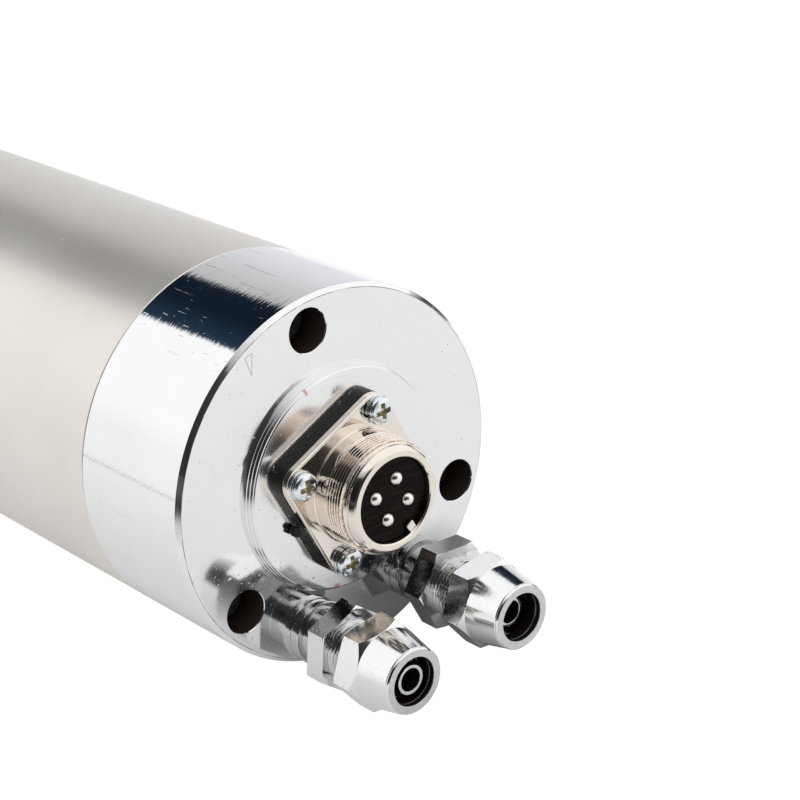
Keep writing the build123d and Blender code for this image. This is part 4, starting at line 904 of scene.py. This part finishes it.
# ---- water fittings ----
for port, angle in PORTS.items():
    at = around(PORT_R, angle)
    on_body(turned(f"{port}_seal_ring", [(REAR_FACE, 5.0), (REAR_FACE, 6.9), (SEAL_TOP, 6.9), (SEAL_TOP, 5.0)],
                   0.45, 96, at), CHROME, "sealing_rings")

    back, front = REAR_FACE + HEX_START[port], REAR_FACE + HEX_END[port]
    hexagon = block(f"{port}_hexagon", (back, front, polygon(6, HEX_FLATS, HEX_TURN[port], at)))
    corners = [(back, 0), (back, HEX_CORNER_R), (back + 0.52, HEX_CORNER_R + 0.01), (front - 0.52, HEX_CORNER_R + 0.01),
               (front, HEX_CORNER_R - 0.9), (front, 0)]
    combined(hexagon, holes("turning", (corners, 144, PORT_R, [angle])), "INTERSECT")
    combined(hexagon, holes("bore", ([(200, 0), (200, 5.0), (240, 5.0), (240, 0)], 48, PORT_R, [angle])))
    on_body(hexagon, CHROME, f"{port}_body", edge=0.14)
    on_body(turned(f"{port}_stem", [
        (203.5, BARB_BORE_R), (203.5, 4.3), (204.0, 4.85), (SEAL_TOP, 4.85), (SEAL_TOP, 6.0), (back, 6.0),
        (back + 0.5, 5.6), (front - 0.2, 5.6), (front - 0.2, STEM_R), (STEM_END - 0.8, STEM_R), (STEM_END, 5.9),
        (STEM_END, 2.9), (STEM_END + 3.0, 2.9), (STEM_END + 3.2, BARB_R), (BARB_END, BARB_R),
        (BARB_END, BARB_BORE_R)], 0.12, 112, at), CHROME)
    on_body(thread(f"{port}_stem_thread", front + 0.25, 7.9, 0.9, STEM_R, 0.30, CHROME, at, foot=0.96, crest=0.40,
                   steps=56), CHROME, edge=None)

    back = REAR_FACE + NUT_START[port]
    shoulder, front = back + NUT_HEX, back + NUT_LENGTH
    nut = block(f"{port}_clamp_nut", (back, front, polygon(6, HEX_FLATS, NUT_TURN, at)))
    outside = [(back, 0), (back, HEX_CORNER_R - 0.5), (back + 0.30, HEX_CORNER_R + 0.01),
               (shoulder - 0.75, HEX_CORNER_R + 0.01), (shoulder + 0.55, HEX_FLATS / 2 - 0.02),
               (front - 0.75, 7.03), (front - 0.65, 6.93), (front - 0.5, 6.93), (front - 0.4, 7.0),
               (front - 0.2, 6.92), (front, 6.72), (front, 0)]
    hollow = [(back - 1, 0), (back - 1, 7.25), (back, 7.25), (back + 0.3, 7.0), (back + 6.2, 7.0),
              (back + 7.6, 5.67), (front - 4.0, 5.3), (front - 3.8, NUT_MOUTH_R), (front - 1.5, NUT_MOUTH_R),
              (front - 1.4, 5.2), (front - 1.2, 5.2), (front - 1.1, NUT_MOUTH_R), (front - 0.2, NUT_MOUTH_R),
              (front, 5.25), (front + 1, 5.25), (front + 1, 0)]
    combined(nut, holes("turning", (outside, 160, PORT_R, [angle])), "INTERSECT")
    combined(nut, holes("hollow", (hollow, 112, PORT_R, [angle])))
    on_body(nut, CHROME, f"{port}_nut", body=f"{port}_nut_body", edge=0.11)


# ---- front end ----
housing = turned("front_bearing_housing", [
    (HOUSING_END, 19), (HOUSING_END, 38.5), (-10.5, BODY_R), (-EDGE, BODY_R), (0, BODY_R - EDGE), (0, CORE_R),
    (5.95, CORE_R), (5.95, 29.95), (22, 29.95), (22, 23.51), (-4, 23.51), (-4, 19)], 0.12, 256)
bore = [(-13, 0), (-13, 4.1), (HOUSING_END, 4.1), (HOUSING_END + EDGE, 3.9), (-6.5, 3.9), (-6.5, 2.1), (4, 2.1), (4, 0)]
combined(housing, holes("housing_holes", (bore, 48, HOUSING_SCREW_R, [60.0 * k for k in range(6)])))
on_body(housing, HOUSING, "front_housing")
socket_screws("housing_screw_set", [(-10.5, 0), (-10.5, 3.1), (-10.1, 3.5), (-6.5, 3.5), (-6.5, 2.05), (3, 2.05),
                                    (3, 0)], 0.1, 48, HOUSING_SCREW_R, (-11, -8.5, 3.0), (6, 0.0), "housing_screws")

cover = turned("labyrinth_cover", [(COVER_END, 14.4), (COVER_END, 28), (-16, 29), (HOUSING_END, 29), (HOUSING_END, 18.9),
                                   (-5, 18.9), (-5, 14.4)], 0.12, 192)
sink = [(-18, 0), (-18, 3.1), (COVER_END, 3.1), (-15.4, 1.7), (-11, 1.7), (-11, 0)]
combined(cover, holes("cover_holes", (sink, 48, COVER_SCREW_R, [45.0 + 90.0 * k for k in range(4)])))
on_body(cover, HOUSING, "front_cover")
socket_screws("cover_screw_set", [(-16.9, 0), (-16.9, 2.9), (-16.6, 2.7), (-15.4, 1.4), (-6, 1.4), (-6, 0)], 0.06, 40,
              COVER_SCREW_R, (-18, -15.6, 2.0), (4, 45.0), "cover_screws")

SEAT_MOUTH_R, SEAT_LENGTH, SHANK_R = 10.2, 27.5, 5.8
on_body(turned("spindle_shaft", [
    (-38, SEAT_MOUTH_R), (-38, 11.3), (-37.4, NOSE_R), (-23.3, NOSE_R), (-23, 11.4), (-21, 11.4), (-21, 17.0),
    (-20.5, 17.5), (-17.8, 17.5), (-17.8, 14.0), (-4, 14.0), (-4, 12.5), (20.4, 12.5), (20.4, 12.4), (27.4, 12.4),
    (27.4, 12.0), (138, 12.0), (138, 10.0), (158, 10.0), (158, 7.5), (172, 7.5), (173, 6.5), (173, 0), (3.5, 0),
    (1.5, SHANK_R), (-10.5, SHANK_R), (-10.5, SEAT_MOUTH_R - SEAT_LENGTH * CONE_SLOPE)], 0.15, 160),
    SHAFT, "shaft", body="rotor")
on_body(thread("nose_thread", -37.3, 13.8, 1.5, NOSE_R, 0.54, SHAFT, steps=64), SHAFT, body="rotor", edge=None)

lock = turned("bearing_lock_nut", [(20.4, 12.5), (20.4, 18.5), (26.4, 18.5), (27.4, 17.5), (27.4, 12.5)], 0.2, 96)
cuts = [(19, 29, swung(rectangle(-2, 2, 2.5), radians(turn), around(18.5, turn))) for turn in (0.0, 90.0, 180.0, 270.0)]
on_body(combined(lock, block("spanner_slots", *cuts, weld=0)), SHAFT, "lock_nut", body="rotor")

cone_r = 10.12
back_r = cone_r - 26.5 * CONE_SLOPE
grip = turned("tool_collet", [
    (-43, 3.0), (-43, 9.2), (-40.9, 10.5), (-40.2, 10.5), (-40.2, 9.0), (-38.4, 9.0), (-38.4, cone_r), (-38, cone_r),
    (-12, back_r + 0.05), (-11.5, back_r - 0.4), (-11.5, 3.0)], 0.12, 144)
cuts = [(start, start + 25.0, swung(rectangle(0.8, 12, 0.25), radians(turn + 60.0 * k)))
        for k in range(6) for start, turn in ((-44.0, 15.0), (-35.5, 45.0))]
on_body(combined(grip, block("collet_slits", *cuts, weld=0)), COLLET, "collet", body="collet_body")

nut = turned("collet_clamp_nut", [
    (-45.5, 9.0), (-45.5, 13.5), (-43.3, 17), (-27.5, 17), (-26.5, 16), (-26.5, 12.6), (-27.2, 12.4), (-38.2, 12.4),
    (-38.2, 10.7), (-38.6, 10.7), (-38.6, 9.3), (-40.05, 9.3), (-40.05, 10.6), (-40.95, 10.6), (-43.1, 9.2)],
    0.15, 192)
flute = piece_from(spun(bmesh.new(), [(-50, 0), (-50, 2.9), (-45.5, 2.9), (-45.0, 2.6), (-30.5, 2.6), (-30.5, 0)], 48,
                        (17.9, 0.0), False), "flute")
on_body(combined(nut, ring_of(flute, 6, 0.0, COLLET)), COLLET, "collet_nut", body="collet_nut_body", edge=0.2)


# ---- closed-in pieces keep their solids and get their own finish ----
INSIDE = {
    CORE: ["jacket_core", "rotor_rings"], HOUSING: ["bearing_plate"], RUBBER: ["jacket_seals"],
    IRON: ["stator_core", "rotor_core"], COPPER: ["stator_windings"], SLEEVING: ["motor_leads"],
    BEARING: ["front_inner_races", "front_outer_races", "front_balls", "rear_inner_race", "rear_outer_race",
              "rear_balls", "preload_spring"]}
for finish, names in INSIDE.items():
    for node in (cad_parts[name] for name in names):
        if not node.material_slots:
            node.data.materials.append(finish)
        for slot in node.material_slots:
            slot.material = finish


# ---- studio ----
def glow(name):
    """Light of the tone that is stored at the card's corners."""
    material = bpy.data.materials.new(name)
    tree = cleared(material)
    tone = add_node(tree, "ShaderNodeAttribute", {"attribute_name": "tone"})
    light = add_node(tree, "ShaderNodeEmission", None, {"Color": tone, "Strength": 1.0})
    add_node(tree, "ShaderNodeOutputMaterial", None, {"Surface": light})
    return material


def card(name, rows, tones):
    """A studio card that only reflections see: rows of corners, and the tone at each corner."""
    wide = len(rows[0])
    faces = [[wide * j + i, wide * j + i + 1, wide * (j + 1) + i + 1, wide * (j + 1) + i]
             for j in range(len(rows) - 1) for i in range(wide - 1)]
    mesh = bpy.data.meshes.new(name)
    mesh.from_pydata([Vector(point) for row in rows for point in row], [], faces)
    stored = mesh.attributes.new("tone", "FLOAT_COLOR", "POINT")
    for k, tone in enumerate(tone for row in tones for tone in row):
        stored.data[k].color = (*(tone if isinstance(tone, tuple) else (tone,) * 3), 1.0)
    mesh.materials.append(glow(name))
    board = object_of(name, mesh)
    board.visible_camera = board.visible_diffuse = board.visible_shadow = False


def far_rows(*rows):
    """Rows of corners of a screen beyond the tool end: each row's height, then its corners' places across."""
    return [[(FAR, y, height) for y in across] for height, *across in rows]


def wall_rows(azimuths, heights, reach=1.4):
    """Rows of corners of an upright screen round the rear end of the part."""
    return [[(AIM + reach * cos(radians(a)), reach * sin(radians(a)), z) for a in azimuths] for z in heights]


def table_rows(along, across):
    """Rows of corners of a card that lies on the floor."""
    return [[(x, y, TABLE) for x in along] for y in across]


def any_ray(rays, *kinds):
    """1 for rays of the kinds that are named, 0 for all others."""
    *others, seen = [rays.outputs[f"Is {kind} Ray"] for kind in kinds]
    for other in reversed(others):
        seen = maths(rays.id_data, "MAXIMUM", other, seen)
    return seen


FLOOR, FLOOR_HALF = cad_box[0][2] - 0.0002, 6
TABLE, FAR, AIM = FLOOR + 0.0001, -1.5, 0.2
CONTACT_FADE, FRONT_EDGE = 0.066, 0.27
floor = bpy.data.meshes.new("floor")
floor.from_pydata([(x, y, FLOOR) for x, y in rectangle(-FLOOR_HALF, FLOOR_HALF, FLOOR_HALF)], [], [(0, 1, 2, 3)])
pale = bpy.data.materials.new("pale_floor")
tree = cleared(pale)
rays = tree.nodes.new("ShaderNodeLightPath")
mirrored = rays.outputs["Is Glossy Ray"]
share = maths(tree, "MULTIPLY_ADD", any_ray(rays, "Camera", "Transmission"), 0.93, mirrored, use_clamp=True)
place = add_node(tree, "ShaderNodeSeparateXYZ", None, {0: add_node(tree, "ShaderNodeTexCoord", out=3)}).node
across, along = Value(tree, place.outputs["Y"]), Value(tree, place.outputs["X"])
beyond = (along - REAR_FACE * MM).step("MAXIMUM", 0.0) * 1.5
apart = (across * across + beyond * beyond) ** 0.5
near = (apart * (-1.0 / CONTACT_FADE)).step("EXPONENT")
shade = near * 0.45 + along.above(FRONT_EDGE, 0.06) * 0.07 + 0.055
tone = 1.0 - shade * mirrored
matt = add_node(tree, "ShaderNodeBsdfDiffuse", None, {"Color": (0.86, 0.86, 0.86, 1.0)})
lit = add_node(tree, "ShaderNodeEmission", None,
               {"Color": add_node(tree, "ShaderNodeCombineXYZ", None, {0: tone, 1: tone, 2: tone}), "Strength": 1.06})
add_node(tree, "ShaderNodeOutputMaterial", None,
         {"Surface": add_node(tree, "ShaderNodeMixShader", None, {0: share, 1: matt, 2: lit})})
floor.materials.append(pale)
object_of("floor", floor)

world = bpy.data.worlds.new("studio")
tree = cleared(world)
place = add_node(tree, "ShaderNodeSeparateXYZ", None, {0: add_node(tree, "ShaderNodeTexCoord", out=0)}).node
rise = Value(tree, place.outputs["Z"]).above(0.12, 0.12)
seen = any_ray(tree.nodes.new("ShaderNodeLightPath"), "Camera", "Glossy", "Transmission")
level = (rise * 0.10 + 0.40) * seen + 0.60
add_node(tree, "ShaderNodeOutputWorld", None, {"Surface": add_node(
    tree, "ShaderNodeBackground", None, {"Color": (1.0, 1.0, 1.0, 1.0), "Strength": level})})
bpy.context.scene.world = world

NAVY, BLUE, PALE = (0.006, 0.012, 0.024), (0.018, 0.038, 0.072), (0.84, 0.86, 0.90)
card("dark_flag", far_rows((0.80, -0.30, 0.08, 0.45), (1.20, -0.36, 0.08, 0.50), (1.42, -0.40, 0.08, 0.66),
                           (3.60, -0.90, 0.40, 1.70)), [[BLUE, NAVY, NAVY]] * 4)
card("dark_top", far_rows((1.42, 0.66, 2.4, 6.0), (3.60, 1.70, 2.8, 6.0)), [[NAVY] * 3] * 2)
card("pale_top", far_rows((0.0, 0.45, 1.4, 6.0), (0.80, 0.45, 1.4, 6.0), (1.19, 0.50, 1.4, 6.0),
                          (1.41, 0.65, 1.4, 6.0)),
     [[0.74, PALE, PALE], [0.64, (0.76, 0.77, 0.80), PALE], [0.56, 0.70, 0.78], [0.52, 0.62, 0.70]])
card("dark_room", wall_rows((-100, -80, -62, -50, -28, -8, 18), (-0.04, 0.15, 0.51, 0.98, 1.22, 1.31, 1.60, 2.1)),
     [[0.10, 0.015, 0.015, 0.04, 0.05, 0.10, 0.90], [0.10, 0.01, 0.01, 0.03, 0.04, 0.08, 0.90],
      [0.12, 0.01, 0.01, 0.03, 0.03, 0.06, 0.90], [0.60, 0.015, 0.015, 0.04, 0.04, 0.06, 0.95],
      [0.70, 0.06, 0.05, 0.08, 0.06, 0.10, 1.00], [0.75, 0.50, 0.40, 0.30, 0.40, 0.85, 1.00],
      [0.85, 0.75, 0.60, 0.50, 0.60, 0.92, 1.00], [1.05, 1.00, 1.00, 0.85, 0.85, 0.95, 1.05]])
card("dark_right", wall_rows((86, 95, 104), (-0.04, 0.30, 0.45)),
     [[0.9, 0.05, 0.25], [0.9, 0.05, 0.25], [1.0, 0.4, 0.8]])
card("dark_table", table_rows((0.225, 0.262, 0.30, 0.40, 1.4), (-0.085, -0.12, -0.148, -0.18, -0.34, -1.35)),
     [[0.86, 0.84, 0.84, 0.80, 0.80], [0.84, 0.66, 0.62, 0.50, 0.50], [0.30, 0.20, 0.14, 0.16, 0.30],
      [0.02, 0.02, 0.03, 0.10, 0.20], [0.02, 0.02, 0.02, 0.10, 0.12], [0.02, 0.02, 0.02, 0.04, 0.06]])
# painted shadow: a dark card on the floor under the part and its fittings, seen only in reflections
card("under_body", table_rows((0.0, 0.213, 0.226, 0.240, 0.258),
                              (-0.030, -0.018, -0.008, 0.004, 0.016, 0.030, 0.045, 0.070)),
     [[0.70, 0.70, 0.72, 0.75, 0.79], [0.54, 0.54, 0.64, 0.70, 0.79], [0.25, 0.25, 0.50, 0.60, 0.78],
      [0.07, 0.07, 0.32, 0.50, 0.77], [0.07, 0.07, 0.13, 0.26, 0.77], [0.07, 0.08, 0.10, 0.13, 0.78],
      [0.30, 0.20, 0.15, 0.22, 0.82], [0.83, 0.83, 0.83, 0.84, 0.87]])
card("thin_line", table_rows((-0.5, 0.25), (-0.1605, -0.1565)), [[0.50, 0.25]] * 2)


def lamp(name, place, size, power):
    """A square soft lamp aimed at the rear end of the part, which mirrors don't show."""
    data = bpy.data.lights.new(name, "AREA")
    data.energy, data.size = power, size
    light = object_of(name, data)
    light.location = place
    light.rotation_euler = (Vector((AIM, 0.0, 0.0)) - Vector(place)).to_track_quat("-Z", "Y").to_euler()
    light.visible_glossy = False


lamp("key_lamp", (0.9, -0.9, 1.2), 0.9, 12.0)
lamp("fill_lamp", (0.2, 1.2, 0.9), 1.0, 6.0)


# ---- camera ----
CAMERA_AT = (0.52957, -0.25922, 0.16765)
AZIMUTH, ELEVATION = 48.976, 20.316
lens = bpy.data.cameras.new("camera")
lens.lens, lens.sensor_width, lens.clip_start = 98.506, 36.0, 0.01
camera = object_of("camera", lens)
camera.location = CAMERA_AT
camera.rotation_euler = (radians(90.0 - ELEVATION), 0.0, radians(AZIMUTH))
bpy.context.scene.camera = camera
bpy.context.scene.view_settings.view_transform = "Standard"
